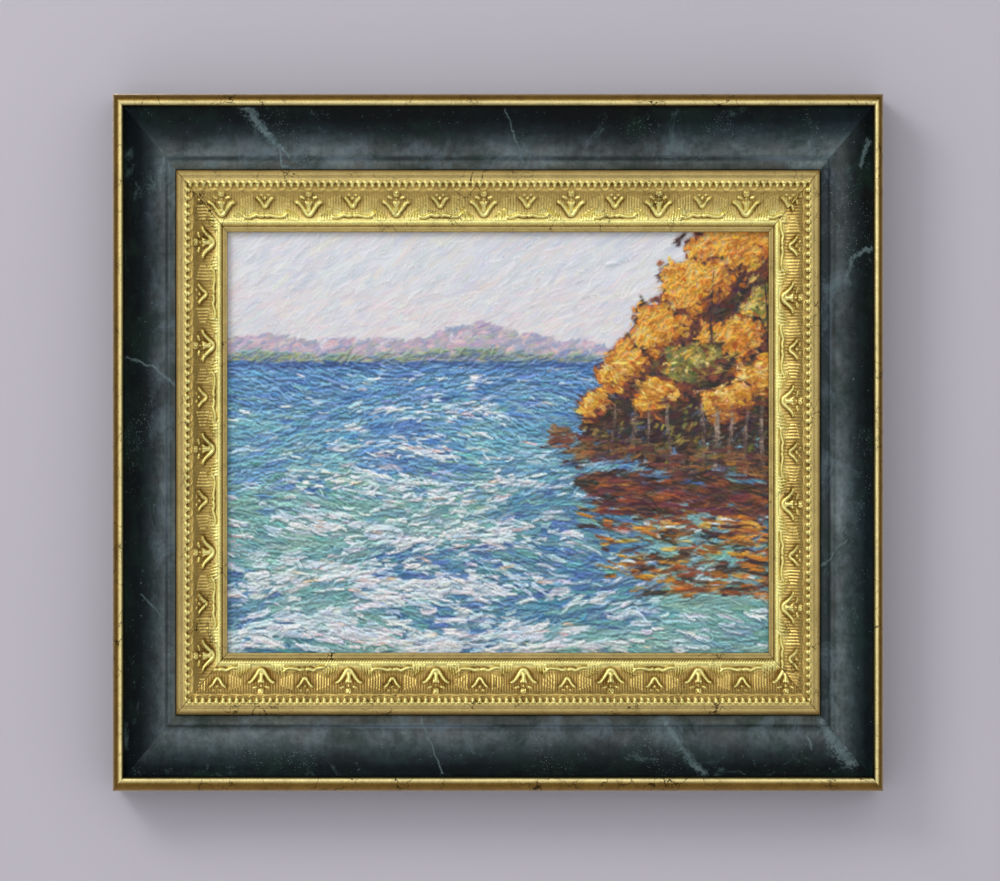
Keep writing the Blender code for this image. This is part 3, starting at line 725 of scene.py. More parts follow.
bare_back = put_group(marbled_tree, grain_group, {"Place": rail_place})
worn_edge = remap(marbled_tree, combine(marbled_tree, "ADD", cover_parts["Red"],
                                        remap(marbled_tree, mottle, 0.3, 0.7, -0.14, 0.14)), 0.45, 0.55)
painted = mix_colour(marbled_tree, worn_edge, veined, lip_gilding["Colour"])
covered = mix_colour(marbled_tree, cover_parts["Green"], painted, bare_back["Colour"])
marble_rough = remap(marbled_tree, mottle, 0.3, 0.7, 0.36, 0.50)
front_rough = mix_value(marbled_tree, worn_edge, marble_rough, lip_gilding["Roughness"])
all_rough = mix_value(marbled_tree, cover_parts["Green"], front_rough, bare_back["Roughness"])
gilt_metal = combine(marbled_tree, "MULTIPLY", worn_edge,
                     remap(marbled_tree, cover_parts["Green"], 0.0, 1.0, 0.95, 0.0))
brushed_height = combine(marbled_tree, "MULTIPLY", brushed, 0.5)
surface_height = mix_value(marbled_tree, worn_edge, brushed_height, lip_gilding["Height"])
feed(marbled_tree, marbled_shader, Base_Color=covered, Roughness=all_rough, Metallic=gilt_metal,
     Normal=bump(marbled_tree, surface_height, 0.35, 0.0002))
marbled_shader.inputs["Specular IOR Level"].default_value = 0.14

moulding_random = np.random.default_rng(11)
moulding_columns = 60
hand_cut_depth = 0.00008
# Where each rail's lip is highest and where it ends, as it was rounded by hand.
lip_rounding = {"top": (0.0055, 0.0081), "right": (0.0050, 0.0079), "bottom": (0.0070, 0.0092),
                "left": (0.0060, 0.0087)}
# How far out each rail's painted shade gives way to paler paint on the scoop.
# The palest one has a dark band instead of a crease.
scoop_shade_reach = {"top": 0.68, "right": 1.0, "bottom": 0.80, "left": 0.25}
# What is painted or pressed on the upright rails is spaced this much wider.
upright_stretch = 65.3 / 55.3
for number, side in enumerate(rail_sides):
    squeeze = 1.0 if side in ("top", "bottom") else upright_squeeze
    stretch = 1.0 if side in ("top", "bottom") else upright_stretch
    lip_crest, lip_end = lip_rounding[side]
    outline = moulding_profile(lip_crest, lip_end)
    profile_inward = np.array([point[0] for point in outline])
    # The lip's painted highlight is set on each rail's own crest.
    painted_inward = np.interp(profile_inward, [0, lip_crest, lip_end, 0.013, 0.06],
                               [0, 0.62 * lip_width, lip_width, 0.013, 0.06])
    inward = profile_inward * squeeze
    rise = np.array([point[1] for point in outline])
    covers = np.array([point[2] for point in outline], dtype=float)
    covers[:, 2] = scoop_shade_reach[side]
    shape = (len(outline), moulding_columns)
    hand_cut = hand_cut_depth * smooth_noise(moulding_random, shape, 12)
    inner_end = (moulding_face - 0.001) * squeeze
    on_face = (rise > crease_level - 0.001) & (inward > 0.0005) & (inward < inner_end)
    lip_top = rise > lip_level - 0.0002
    level = rise[:, None] + np.where(on_face[:, None], hand_cut, 0.0)
    level = np.where(lip_top[:, None], rise[:, None] - np.abs(hand_cut), level)
    along = np.linspace(-1, 1, moulding_columns) * rail_reach(side, inward)[:, None]
    rail_places = np.stack(np.broadcast_arrays(
        along / stretch + number * rail_spacing, painted_inward[:, None], rise[:, None]), axis=-1)
    rail = add_rail(f"marbled_rail_{side}", side, inward, level, moulding_columns, marbled,
                    rail_place=rail_places, rail_cover=covers[:, None, :])
    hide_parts(f"moulding_{side}")

# Gilt inner moulding: four lengths of pine with ornament pressed in composition along the face.
# From the outside in it has two reeds, a row of scallops, a hollow with palmettes, a roped ovolo
# and a flat fillet. It is gilded over brown-red clay and sits in the outer moulding's rabbet.
shadow_gap = 0.0006
liner_clearance = 0.0004
sight_lip = 0.0027
liner_face = 0.0385
palmette_period = 0.0553
scallop_pitch = 0.00853
# Waves in radians per metre: the fine flutes, and the rope along its rail and across it.
flute_rate = 3700.0
rope_along_rate = 3600.0
rope_across_rate = 2600.0
pattern_shift = {"top": -0.0090, "right": -0.0262, "bottom": -0.0161, "left": -0.0041}
# Face of the moulding: width, height at its start and end over the sight edge, bow and rows.
face_parts = [
    ("outer_reed", 0.0036, 0.0076, 0.0079, 0.00025, 7),
    ("fine_groove", 0.0003, 0.0079, 0.0079, -0.00007, 2),
    ("fine_bead", 0.0005, 0.0079, 0.0080, 0.00008, 2),
    ("reed_groove", 0.0003, 0.0080, 0.0080, -0.00008, 2),
    ("inner_reed", 0.0036, 0.0080, 0.0076, 0.0004, 8),
    ("scallop_row", 0.0044, 0.0070, 0.0068, 0.0, 10),
    ("hollow", 0.0181, 0.0068, 0.0014, -0.0016, 38),
    ("ovolo", 0.0042, 0.0014, 0.0002, 0.0011, 10),
    ("groove", 0.0003, 0.0002, 0.0006, 0.0, 1),
    ("fillet", 0.0031, 0.0006, 0.0006, 0.0, 4),
    ("fillet_edge", 0.0004, 0.0006, 0.0000, 0.00012, 3),
]

sight_front = band_level + 0.0028 - 0.0080
sight_back = sight_front - sight_lip
liner_start = moulding_face + shadow_gap
flange_level = band_back - fit_gap
rail_width = liner_start + liner_face
pocket_depth = 0.00785


def liner_stations():
    """Places across the gilt face, from its outer edge, with the plain face's height at each."""
    places, heights = [0.0], [face_parts[0][2]]
    start = 0.0
    for _, width, first, last, bow, steps in face_parts:
        for share in np.linspace(0, 1, steps + 1)[1:]:
            places.append(start + width * share)
            heights.append(first + (last - first) * share + 4 * bow * share * (1 - share))
        start += width
    return np.array(places), np.array(heights)


def flipped(points):
    """The same points on the other side of the middle of an ornament."""
    return np.array(points) * (-1, 1)


def ridge(along, outward, points, first_radius, last_radius, height):
    """Height of one pressed stroke: a rounded ridge along its points, tapering between two radii."""
    spine = np.array(points, dtype=float)
    lengths = np.linalg.norm(np.diff(spine, axis=0), axis=1)
    run = np.concatenate([[0], np.cumsum(lengths)]) / lengths.sum()
    best = np.zeros_like(along)
    for index, length in enumerate(lengths):
        heading = (spine[index + 1] - spine[index]) / length
        from_along = along - spine[index][0]
        from_outward = outward - spine[index][1]
        share = np.clip((from_along * heading[0] + from_outward * heading[1]) / length, 0, 1)
        away = np.hypot(from_along - share * length * heading[0], from_outward - share * length * heading[1])
        place_in_run = run[index] + share * (run[index + 1] - run[index])
        reach = first_radius + (last_radius - first_radius) * place_in_run
        round_top = np.sqrt(np.clip(1 - (away / reach) ** 2, 0, 1))
        best = np.maximum(best, height * round_top * (0.55 + 0.45 * round_top))
    return best


def ridges(along, outward, strokes):
    """Height of several pressed strokes, each given as its points, its two radii and its height."""
    rise = np.zeros_like(along)
    for points, first_radius, last_radius, height in strokes:
        rise = np.maximum(rise, ridge(along, outward, points, first_radius, last_radius, height))
    return rise


def palmette(along, outward):
    """Large palmette: two curling leaves, a flared plume, side berries and a bud above."""
    leaf = [(0, 0.0103), (0.0009, 0.0105), (0.0018, 0.0114), (0.0032, 0.0137), (0.0047, 0.0159),
            (0.0060, 0.0174), (0.0070, 0.0181), (0.0077, 0.0183)]
    side_berry = [(0.0032, 0.0209), (0.0049, 0.0216)]
    sepal = [(0.0010, 0.0222), (0.0014, 0.0230), (0.0014, 0.0239), (0.0009, 0.0247)]
    flare = [(0.0004, 0.0140), (0.0010, 0.0162), (0.0016, 0.0180)]
    strokes = [
        ([(0, 0.0131), (0, 0.0178)], 0.00165, 0.00115, 0.00165),
        ([(0, 0.0228), (0, 0.0240)], 0.00115, 0.00070, 0.00115),
        ([(0, 0.0198), (0, 0.0209)], 0.00050, 0.00040, 0.00055),
    ]
    for turn in (np.array, flipped):
        strokes.append((turn(leaf), 0.00148, 0.00108, 0.00150))
        strokes.append((turn(side_berry), 0.00085, 0.00070, 0.00095))
        strokes.append((turn(sepal), 0.00055, 0.00050, 0.00080))
        strokes.append((turn(flare), 0.00105, 0.00080, 0.00095))
    return ridges(along, outward, strokes)


def small_palmette(along, outward):
    """Small palmette between two large ones: a short forked leaf, a bud and a ribbon below."""
    leaf = [(0, 0.0156), (0.0007, 0.0158), (0.0014, 0.0168), (0.0022, 0.0184), (0.0034, 0.0199),
            (0.0047, 0.0211)]
    tip = [(0.0019, 0.0228), (0.0024, 0.0230)]
    bud = [(-0.0002, 0.0206), (0.0002, 0.0210)]
    before = [(-0.0122, 0.0092), (-0.0104, 0.0090), (-0.0086, 0.0094), (-0.0068, 0.0103), (-0.0052, 0.0108),
              (-0.0038, 0.0102), (-0.0024, 0.0100), (-0.0012, 0.0103)]
    after = [(0.0011, 0.0101), (0.0030, 0.0106), (0.0050, 0.0101), (0.0074, 0.0096), (0.0100, 0.0095),
             (0.0122, 0.0099), (0.0134, 0.0114)]
    strokes = [(bud, 0.00075, 0.00070, 0.00090), (before, 0.00125, 0.00145, 0.00160),
               (after, 0.00145, 0.00112, 0.00160)]
    for turn in (np.array, flipped):
        strokes.append((turn(leaf), 0.00118, 0.00088, 0.00125))
        strokes.append((turn(tip), 0.00055, 0.00050, 0.00060))
    return ridges(along, outward, strokes)


def fluted_ground(along, outward):
    """Short upright flutes each side of the small palmette, and blades of grass by the large one."""
    strokes = []
    for number, place_along in enumerate((0.0080, 0.0097, 0.0114, 0.0131, 0.0148)):
        foot = 0.0138 + 0.0006 * number
        top = 0.0226 - 0.0006 * number
        for sign in (-1, 1):
            flute = [(sign * place_along, foot), (sign * (place_along + 0.0001), top)]
            strokes.append((flute, 0.00054, 0.00042, 0.00036))
    blade_tops = ((0.0136, 0.0150), (0.0153, 0.0143), (0.0170, 0.0134), (0.0187, 0.0123), (0.0204, 0.0110))
    for place_along, top in blade_tops:
        for sign in (-1, 1):
            blade = [(sign * place_along, 0.0078), (sign * (place_along - 0.0002), 0.0104),
                     (sign * (place_along - 0.0006), top)]
            strokes.append((blade, 0.00095, 0.00030, 0.00085))
    return ridges(along, outward, strokes)


def scallop_row(along, outward):
    """One scallop of the row under the reeds: a pair of pointed drops over a low curved bar."""
    foot = liner_face - 0.0127
    drop = [(0.00213, foot + 0.0044), (0.00208, foot + 0.0029)]
    bar = [(-0.0024, foot + 0.0016), (-0.0012, foot + 0.0007), (0, foot + 0.0004), (0.0012, foot + 0.0007),
           (0.0024, foot + 0.0016)]
    strokes = [(bar, 0.00060, 0.00060, 0.00030), (drop, 0.00178, 0.00120, 0.00120),
               (flipped(drop), 0.00178, 0.00120, 0.00120)]
    return ridges(along, outward, strokes)


def repeated(along, period, shift):
    """The same place along a pattern that repeats, measured from its nearest middle."""
    return (along - shift + period / 2) % period - period / 2


def pressed_ornament(random, along, outward, shift):
    """Height of all the pressed ornament over the plain face, worn and a little uneven.

    Also gives where a painted highlight runs in streaks, up from the sight and between the flutes.
    """
    shape = along.shape
    along = along + 0.00016 * smooth_noise(random, shape, 26, 3)
    outward = outward + 0.00016 * smooth_noise(random, shape, 26, 3)
    large = repeated(along, palmette_period, shift)
    small = repeated(along, palmette_period, shift + palmette_period / 2)
    scallop = repeated(along, scallop_pitch, shift)
    crisp = 1 + 0.16 * smooth_noise(random, shape, 40, 3)
    rise = fluted_ground(small, outward) * crisp
    rise = np.maximum(rise, palmette(large, outward) * crisp)
    rise = np.maximum(rise, small_palmette(small, outward) * crisp)
    in_row = (outward > liner_face - 0.0130) & (outward < liner_face - 0.0068)
    row_crisp = 1 + 0.30 * smooth_noise(random, shape, 12, 2)
    rise = np.maximum(rise, np.where(in_row, scallop_row(scallop, outward) * row_crisp, 0))
    streak_places = [0, 0.0050, 0.0072, 0.0084, 0.0109, 0.0130, 0.0154, 0.0179, 0.0200, 0.0277]
    streak_tops = [0.0082, 0.0085, 0.0130, 0.0151, 0.0158, 0.0147, 0.0137, 0.0123, 0.0098, 0.0086]
    top = np.interp(np.abs(small), streak_places, streak_tops)
    stripes = 0.60 + 0.40 * np.cos(2 * np.pi * small / 0.0017)
    highlight_streaks = np.clip((top - outward) / 0.0014, 0, 1) * np.where(outward < 0.0085, 1.0, stripes)
    return rise, highlight_streaks


def blurred(field, rows, columns):
    """A height field averaged over a few rows and columns, to tell its hollows from its ridges."""
    soft = field
    for axis, reach in ((0, rows), (1, columns)):
        padded = np.concatenate([np.repeat(soft.take([0], axis), reach, axis), soft,
                                 np.repeat(soft.take([-1], axis), reach, axis)], axis)
        total = np.cumsum(padded, axis=axis)
        span = 2 * reach
        upper = total.take(range(span, total.shape[axis]), axis)
        lower = np.concatenate([np.zeros_like(total.take([0], axis)),
                                total.take(range(0, total.shape[axis] - span - 1), axis)], axis)
        soft = (upper - lower) / (span + 1)
    return soft


gilt, gilt_tree, gilt_shader = new_material("gilt_liner", plain_colour(220, 180, 90), 0.35)
gilt_place = mesh_mark(gilt_tree, "rail_place", "Vector")
gilt_parts = add_node(gilt_tree, "SeparateXYZ", {"Vector": gilt_place}).outputs
# The relief mark is red in the hollows and under the painted shadow, green where the leaf is painted bright
# by painted light and by rubbing, and blue on the rope.
relief_mark = mesh_mark(gilt_tree, "relief", "Color")
relief_parts = add_node(gilt_tree, "SeparateColor", {"Color": relief_mark}).outputs
# Leaf from dark to bright: painted shade and painted highlight, with rubbed leaf on the high places.
leaf_with_painted_light = colour_steps(gilt_tree, relief_parts["Green"], [
    (0.0, plain_colour(166, 140, 79)),
    (0.35, plain_colour(216, 188, 109)),
    (0.62, plain_colour(246, 220, 132)),
    (1.0, plain_colour(255, 245, 158)),
])
# The leaf mark is red where there is leaf, green on the reeds and fillet, blue on the fluted ground.
plain_mark = mesh_mark(gilt_tree, "leafed", "Color")
plain_parts = add_node(gilt_tree, "SeparateColor", {"Color": plain_mark}).outputs
# Painted light and shade across the plain reeds and the fillet.
reed_and_fillet_leaf = colour_steps(gilt_tree, relief_parts["Green"], [
    (0.0, plain_colour(134, 115, 70)),
    (0.15, plain_colour(178, 157, 99)),
    (0.30, plain_colour(198, 177, 115)),
    (0.45, plain_colour(212, 191, 118)),
    (0.75, plain_colour(242, 221, 138)),
    (1.0, plain_colour(254, 240, 154)),
])
either_leaf = mix_colour(gilt_tree, plain_parts["Green"], leaf_with_painted_light, reed_and_fillet_leaf)
flute_wave = sine(gilt_tree, combine(gilt_tree, "MULTIPLY", gilt_parts["X"], flute_rate))
flute_height = combine(gilt_tree, "MULTIPLY", flute_wave, plain_parts["Blue"])
flute_stain = combine(gilt_tree, "MULTIPLY", remap(gilt_tree, flute_wave, 0.4, -0.9, 0.0, 0.30),
                      plain_parts["Blue"])
gilt_cracks = put_group(gilt_tree, crack_group, {
    "Place": gilt_place, "Scale": 78.0, "Width": 0.028, "Spread": 0.49})["Cracks"]
rope_along = combine(gilt_tree, "MULTIPLY", gilt_parts["X"], rope_along_rate)
rope_across = combine(gilt_tree, "MULTIPLY", gilt_parts["Y"], rope_across_rate)
rope_wave = sine(gilt_tree, combine(gilt_tree, "ADD", rope_along, rope_across))
rope_height = combine(gilt_tree, "MULTIPLY", rope_wave, relief_parts["Blue"])
rope_stain = combine(gilt_tree, "MULTIPLY", remap(gilt_tree, rope_wave, 0.2, -0.8), relief_parts["Blue"])
leaf_gilding = put_group(gilt_tree, gilding_group, {
    "Place": gilt_place,
    "Leaf": either_leaf,
    "Toning": plain_colour(116, 84, 30),
    "Hollows": combine(gilt_tree, "ADD", relief_parts["Red"], rope_stain, flute_stain),
    "Cracks": gilt_cracks,
})
stipple = noise(gilt_tree, gilt_place, 1500.0, 1.0, 0.5)
stippled = remap(gilt_tree, relief_parts["Green"], 0.0, 0.5, 1.0, 0.25)
ground_height = combine(gilt_tree, "MULTIPLY", stipple, stippled)
gilt_height = combine(gilt_tree, "ADD", rope_height, flute_height, ground_height, leaf_gilding["Height"])
raw_side = put_group(gilt_tree, grain_group, {"Place": gilt_place})
leafed = plain_parts["Red"]
gilt_colour = mix_colour(gilt_tree, leafed, raw_side["Colour"], leaf_gilding["Colour"])
gilt_rough = mix_value(gilt_tree, leafed, raw_side["Roughness"], leaf_gilding["Roughness"])
feed(gilt_tree, gilt_shader, Base_Color=gilt_colour, Roughness=gilt_rough,
     Metallic=remap(gilt_tree, leafed, 0.0, 1.0, 0.0, 0.95),
     Normal=bump(gilt_tree, gilt_height, 0.45, 0.00022))

gilt_random = np.random.default_rng(23)
level_columns = 756
upright_columns = 592
worn_depth = 0.00007
# How much painted shade each rail gets in the hollow (the top rail gets painted light there instead), on the
# reeds and round the scallops, how dark the painted shadow under them is, and how much of the rope still
# shows.
hollow_painted_shade = {"top": -0.14, "right": 0.14, "bottom": 0.46, "left": 0.20}
reed_painted_shade = {"top": 1.0, "right": 0.6, "bottom": 1.7, "left": 1.3}
row_painted_shade = {"top": 0.55, "right": 0.55, "bottom": 0.78, "left": 0.48}
under_row_painted_shadow = {"top": 0.40, "right": 0.70, "bottom": 0.40, "left": 0.70}
rope_shown = {"top": 0.30, "right": 0.30, "bottom": 0.85, "left": 0.30}


def leaf_marks(side, face_places, outward, face_level, rise, highlight_streaks):
    """The relief mark and the leaf mark for one rail's gilding, with painted light and shade in the relief
    mark.
    """
    lower_than_near = (blurred(face_level, 3, 5) - face_level) / 0.00045
    lower_than_far = (blurred(rise, 6, 10) - rise) / 0.0009
    hollows = np.clip(lower_than_near, 0, 1) * 0.90 + np.clip(lower_than_far, 0, 1) * 0.36
    falling = blurred(-np.gradient(face_level, liner_start + face_places, axis=0), 1, 1)
    # Painted light: what faces outward is painted brighter and what faces the sight darker, and high places
    # and streaks are painted bright, partly as rubbed leaf.
    painted_light_and_wear = np.clip(0.62 - 0.72 * falling, 0, 1) + 0.85 * np.clip(-lower_than_near, 0, 1)
    painted_light_and_wear += 0.42 * highlight_streaks + 0.45 * np.clip((rise - 0.0006) / 0.0006, 0, 1)
    in_hollow = np.interp(outward, [0.0085, 0.0125, 0.0225, 0.0265], [0, 1, 1, 0])
    # Painted shade in the hollow, by rail.
    painted_light_and_wear -= hollow_painted_shade[side] * in_hollow * np.clip(1 - rise / 0.0005, 0, 1)
    # Painted highlights on the scallops' drops, and painted shade round them in the row.
    drops = np.clip((rise - 0.00025) / 0.0004, 0, 1) * (outward > liner_face - 0.0106)
    in_row = np.exp(-((outward - (liner_face - 0.0107)) / 0.0019) ** 4)
    painted_light_and_wear = (painted_light_and_wear + 0.18 * drops) * (1 - row_painted_shade[side] * in_row * (1 - drops))
    # Painted light and shade across the reeds and the fillet, band by band.
    reeds = np.interp(face_places, [0, 0.0010, 0.0017, 0.0030, 0.0037, 0.0047, 0.0060, 0.0071, 0.0078],
                      [0.0, 0.05, 0.15, 0.27, 0.20, 0.30, 0.36, 0.85, 0.95])
    fillet = np.interp(outward[:, 0], [0, 0.0009, 0.0016, 0.0027, 0.0036], [0.20, 0.15, 0.06, 0.25, 0.15])
    painted_light_and_wear = np.where((face_places < 0.0078)[:, None], reeds[:, None], painted_light_and_wear)
    painted_light_and_wear = np.where(outward < 0.0036, fillet[:, None], painted_light_and_wear)
    light_and_wear_mask = np.clip(painted_light_and_wear, 0, 1)
    # Painted shadow under the row of scallops, added to the toning.
    under_scallops_shadow = np.exp(-((outward - (liner_face - 0.0123)) / 0.0009) ** 2)
    by_fillet = np.exp(-((outward - 0.0037) / 0.0008) ** 4)
    hollows *= (1 - 0.35 * in_row) * (1 - 0.60 * by_fillet)
    hollows = np.clip(hollows + under_row_painted_shadow[side] * under_scallops_shadow, 0, 1)
    hollows *= np.clip(1.25 - painted_light_and_wear, 0.15, 1)
    # Painted shade on the outer reed, more on some rails than others.
    outer_reed_shade = np.interp(face_places, [0, 0.0012, 0.0034, 0.0044], [0.30, 0.15, 0.06, 0.0])
    outer_reed_shade *= reed_painted_shade[side]
    hollows = np.clip(hollows + outer_reed_shade[:, None], 0, 1)
    # The mitres are toned in their joint and painted less bright beside it.
    hollows[:, (0, -1)] = 0.9
    light_and_wear_mask[:, (0, -1)] *= 0.5
    # The rope shows on the inner side of the ovolo, most of all along the bottom rail.
    rope = rope_shown[side] * np.exp(-((outward - 0.0048) / 0.0011) ** 4)
    full = np.ones_like(rise)
    plain = (face_places < 0.0079)[:, None] | (outward < 0.0037)
    fluted = in_hollow * np.clip(1 - rise / 0.0004, 0, 1)
    return np.stack([hollows, light_and_wear_mask, rope, full], axis=-1), np.stack([full, plain, fluted, full], axis=-1)


for number, side in enumerate(rail_sides):
    is_level = side in ("top", "bottom")
    squeeze = 1.0 if is_level else upright_squeeze
    stretch = 1.0 if is_level else upright_stretch
    columns = level_columns if is_level else upright_columns
    face_places, face_heights = liner_stations()
    sight = rail_width * squeeze
    pocket = sight - pocket_depth
    flange = (moulding_back + liner_clearance) * squeeze
    hidden = [(sight, sight_back), (pocket, sight_back), (pocket, 0.006), (pocket, 0.0), (flange, 0.0),
              (flange, 0.006), (flange, flange_level), (liner_start * squeeze, flange_level)]
    inward = np.concatenate([(liner_start + face_places) * squeeze, [point[0] for point in hidden]])
    face_rows = len(face_places)
    along = np.linspace(-1, 1, columns) * rail_reach(side, inward)[:, None]
    pattern_along = along[:face_rows] / stretch
    outward = np.broadcast_to((liner_face - face_places)[:, None], pattern_along.shape)
    rise, highlight_streaks = pressed_ornament(gilt_random, pattern_along, outward, pattern_shift[side] / stretch)
    rise += worn_depth * smooth_noise(gilt_random, rise.shape, 30, 4)
    edge_fade = np.clip(np.minimum(face_places, liner_face - 0.0004 - face_places) / 0.0006, 0, 1)[:, None]
    face_level = sight_front + face_heights[:, None] + rise * edge_fade
    level = np.concatenate([face_level, np.repeat([[point[1]] for point in hidden], columns, axis=1)])
    relief, leaf_cover = leaf_marks(side, face_places, outward, face_level, rise, highlight_streaks)
    unmarked = np.broadcast_to((0.0, 0.0, 0.0, 1.0), (len(hidden), columns, 4))
    shown_inward = (inward / squeeze)[:, None]
    rail_places = np.stack(np.broadcast_arrays(
        along / stretch + number * rail_spacing, shown_inward, level), axis=-1)
    rail = add_rail(f"gilt_rail_{side}", side, inward, level, columns, gilt,
                    rail_place=rail_places, relief=np.concatenate([relief, unmarked]),
                    leafed=np.concatenate([leaf_cover, unmarked]))
    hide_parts(f"gilt_liner_{side}")

# Painting: thick oil paint, laid with small flat brushes over the primed linen, wet into wet.
# It shows a lake in autumn under a pale sky. The strokes are laid one by one, and each leaves
# its own ridge, so that the paint catches the light as it does on a real canvas.
paint_random = np.random.default_rng(5)
paint_cell = 0.0007
paint_columns = 499
paint_rows = 391
paint_chips = np.zeros((paint_rows, paint_columns, 3))
paint_relief = np.zeros((paint_rows, paint_columns))
paint_x = np.linspace(0, 1, paint_columns)
paint_y = np.linspace(0, 1, paint_rows)
picture_size = np.array([(paint_columns - 1) * paint_cell, (paint_rows - 1) * paint_cell])
bristle_count = 4096
bristles = paint_random.uniform(0, 1, bristle_count)


def lay_dab(x, y, lean, length, width, bend, load, tint, second_tint):
    """One stroke of the brush: it covers what is under it and leaves a ridge of paint.

    Its middle is x, y from 0 to 1 across and down the picture. Lean is in degrees from level.
    """
    middle = np.array([x, y]) * picture_size / paint_cell
    half_length = length / 2 / paint_cell
    half_width = width / 2 / paint_cell
    reach = half_length + half_width + 2
    left, right = int(max(middle[0] - reach, 0)), int(min(middle[0] + reach + 1, paint_columns))
    top, bottom = int(max(middle[1] - reach, 0)), int(min(middle[1] + reach + 1, paint_rows))
    if left >= right or top >= bottom:
        return
    turn = math.radians(lean)
    from_x = np.arange(left, right)[None, :] - middle[0]
    from_y = np.arange(top, bottom)[:, None] - middle[1]
    along = (from_x * math.cos(turn) + from_y * math.sin(turn)) / half_length
    across = (from_y * math.cos(turn) - from_x * math.sin(turn)) / half_width - bend * along ** 2
    start = int(paint_random.integers(0, 3500))
    hair_number = ((across + 2) * 2.2 * half_width + start).astype(int)
    tip_number = (across * 3 * half_width + start + 90).astype(int)
    hair = bristles[np.clip(hair_number, 0, bristle_count - 1)]
    ragged = bristles[np.clip(tip_number, 0, bristle_count - 1)]
    end_fade = np.clip((1 - np.abs(along) + 0.30 * ragged - 0.10) * half_length * 0.45, 0, 1)
    side_fade = np.clip((1 - np.abs(across)) * half_width * 0.9 + 0.15, 0, 1)
    cover = end_fade * side_fade * (0.72 + 0.28 * hair)
    share = (0.65 * hair + 0.35 * np.clip((along + 1) / 2, 0, 1))[..., None]
    colour = tint * (1 - share) + second_tint * share
    patch = paint_chips[top:bottom, left:right]
    patch += (colour - patch) * cover[..., None]
    ground = paint_relief[top:bottom, left:right]
    side_ridge = 0.35 * across ** 2 * (np.abs(across) < 1)
    profile = 0.55 + 0.35 * hair + side_ridge + 0.25 * np.clip(along, 0, 1) ** 3
    ground += cover * (load * profile - 0.42 * ground)


def tints(*chips):
    """The colours of one palette, as values from 0 to 255."""
    return np.array(chips, dtype=float)


def lay_dabs(count, area, lean, length, width, load, palette, mix=14, bend=0.5, nearness=0.0):
    """Many strokes of one kind, larger down the picture if nearness is given.

    Area gives a place and keeps or drops it, and palette picks the tints for that place.
    """
    for number in range(count):
        x, y = area()
        if x is None:
            continue
        chips = palette(x, y)
        pick = chips[paint_random.integers(len(chips))]
        other = chips[paint_random.integers(len(chips))]
        pick = np.clip(pick + paint_random.normal(0, mix / 2, 3) + paint_random.normal(0, mix * 0.6), 4, 252)
        other = np.clip(0.6 * other + 0.4 * pick + paint_random.normal(0, mix * 0.6, 3), 4, 252)
        leaning = lean(x, y) if callable(lean) else lean
        leaning += paint_random.normal(0, 9)
        nearer = 1 + nearness * (y - 0.5)
        lay_dab(x, y, leaning, length * nearer * paint_random.uniform(0.5, 1.5),
                width * nearer * paint_random.uniform(0.6, 1.4), paint_random.normal(0, bend),
                load * paint_random.uniform(0.4, 1.5), pick, other)


def inside(left, right, top, bottom, keep=None):
    """A chooser of random places in a box, that keeps those where the test is larger than chance."""
    def choose():
        x = paint_random.uniform(left, right)
        y = paint_random.uniform(top, bottom)
        if keep is not None and paint_random.uniform() > keep(x, y):
            return None, None
        return x, y
    return choose


horizon = 0.315
# Crowns of the trees, back to front: middle, half width and half height, with how gold each one is.
crowns = [
    (0.950, 0.080, 0.090, 0.100, 0.45), (0.995, 0.235, 0.065, 0.100, 0.10),
    (0.865, 0.165, 0.066, 0.085, 0.65), (0.930, 0.295, 0.066, 0.080, 0.30),
    (0.795, 0.270, 0.054, 0.080, 0.75), (0.990, 0.370, 0.055, 0.065, 0.50),
    (0.858, 0.340, 0.056, 0.064, 0.10), (0.735, 0.340, 0.042, 0.062, 0.75),
    (0.925, 0.415, 0.050, 0.046, 0.55), (0.795, 0.400, 0.042, 0.044, 0.50),
    (0.678, 0.420, 0.028, 0.036, 0.60),
]
trunks = [(0.708, 0.40, 0.0022), (0.752, 0.30, 0.0024), (0.780, 0.36, 0.0020), (0.812, 0.22, 0.0030),
          (0.868, 0.28, 0.0028), (0.893, 0.12, 0.0034), (0.922, 0.34, 0.0026), (0.955, 0.30, 0.0030),
          (0.985, 0.14, 0.0034)]


def far_shore(x):
    """How high the low far hills stand over the water, from the left to the right."""
    hills = 0.022 + 0.062 * math.exp(-((x - 0.47) / 0.17) ** 2) + 0.040 * math.exp(-((x - 0.10) / 0.16) ** 2)
    return hills + 0.006 * math.sin(31 * x) + 0.004 * math.sin(67 * x + 1)


def bank_line(x):
    """How far down the picture the near bank on the right meets the water."""
    return 0.555 - 0.22 * max(0.0, 0.80 - x) ** 0.9 + 0.010 * math.sin(40 * x) + 0.05 * max(0.0, x - 0.85)


sky_palette = tints((218, 222, 230), (228, 230, 233), (207, 214, 226), (230, 225, 222), (221, 225, 232))
low_sky = tints((230, 222, 224), (228, 217, 222), (216, 218, 228), (232, 231, 232))
hill_palette = tints((166, 158, 194), (208, 172, 190), (146, 162, 168), (132, 152, 188), (190, 184, 204))
hill_light = tints((226, 192, 200), (232, 206, 204), (198, 178, 202), (170, 184, 164), (214, 182, 196))
hill_foot = tints((118, 146, 130), (148, 168, 122), (104, 130, 150), (92, 112, 160), (172, 176, 132))
shore_blue = tints((62, 96, 156), (74, 112, 170), (54, 82, 138), (92, 132, 176))
far_water = tints((92, 140, 188), (110, 156, 200), (78, 124, 176), (130, 172, 206), (70, 112, 168))
middle_water = tints((92, 146, 180), (108, 164, 186), (76, 128, 170), (128, 178, 186), (146, 188, 200))
green_water = tints((120, 166, 166), (136, 178, 170), (98, 152, 156), (150, 188, 182), (112, 156, 172))
near_water = tints((78, 128, 164), (102, 160, 164), (66, 108, 160), (90, 146, 158), (124, 168, 170),
                   (84, 116, 172))
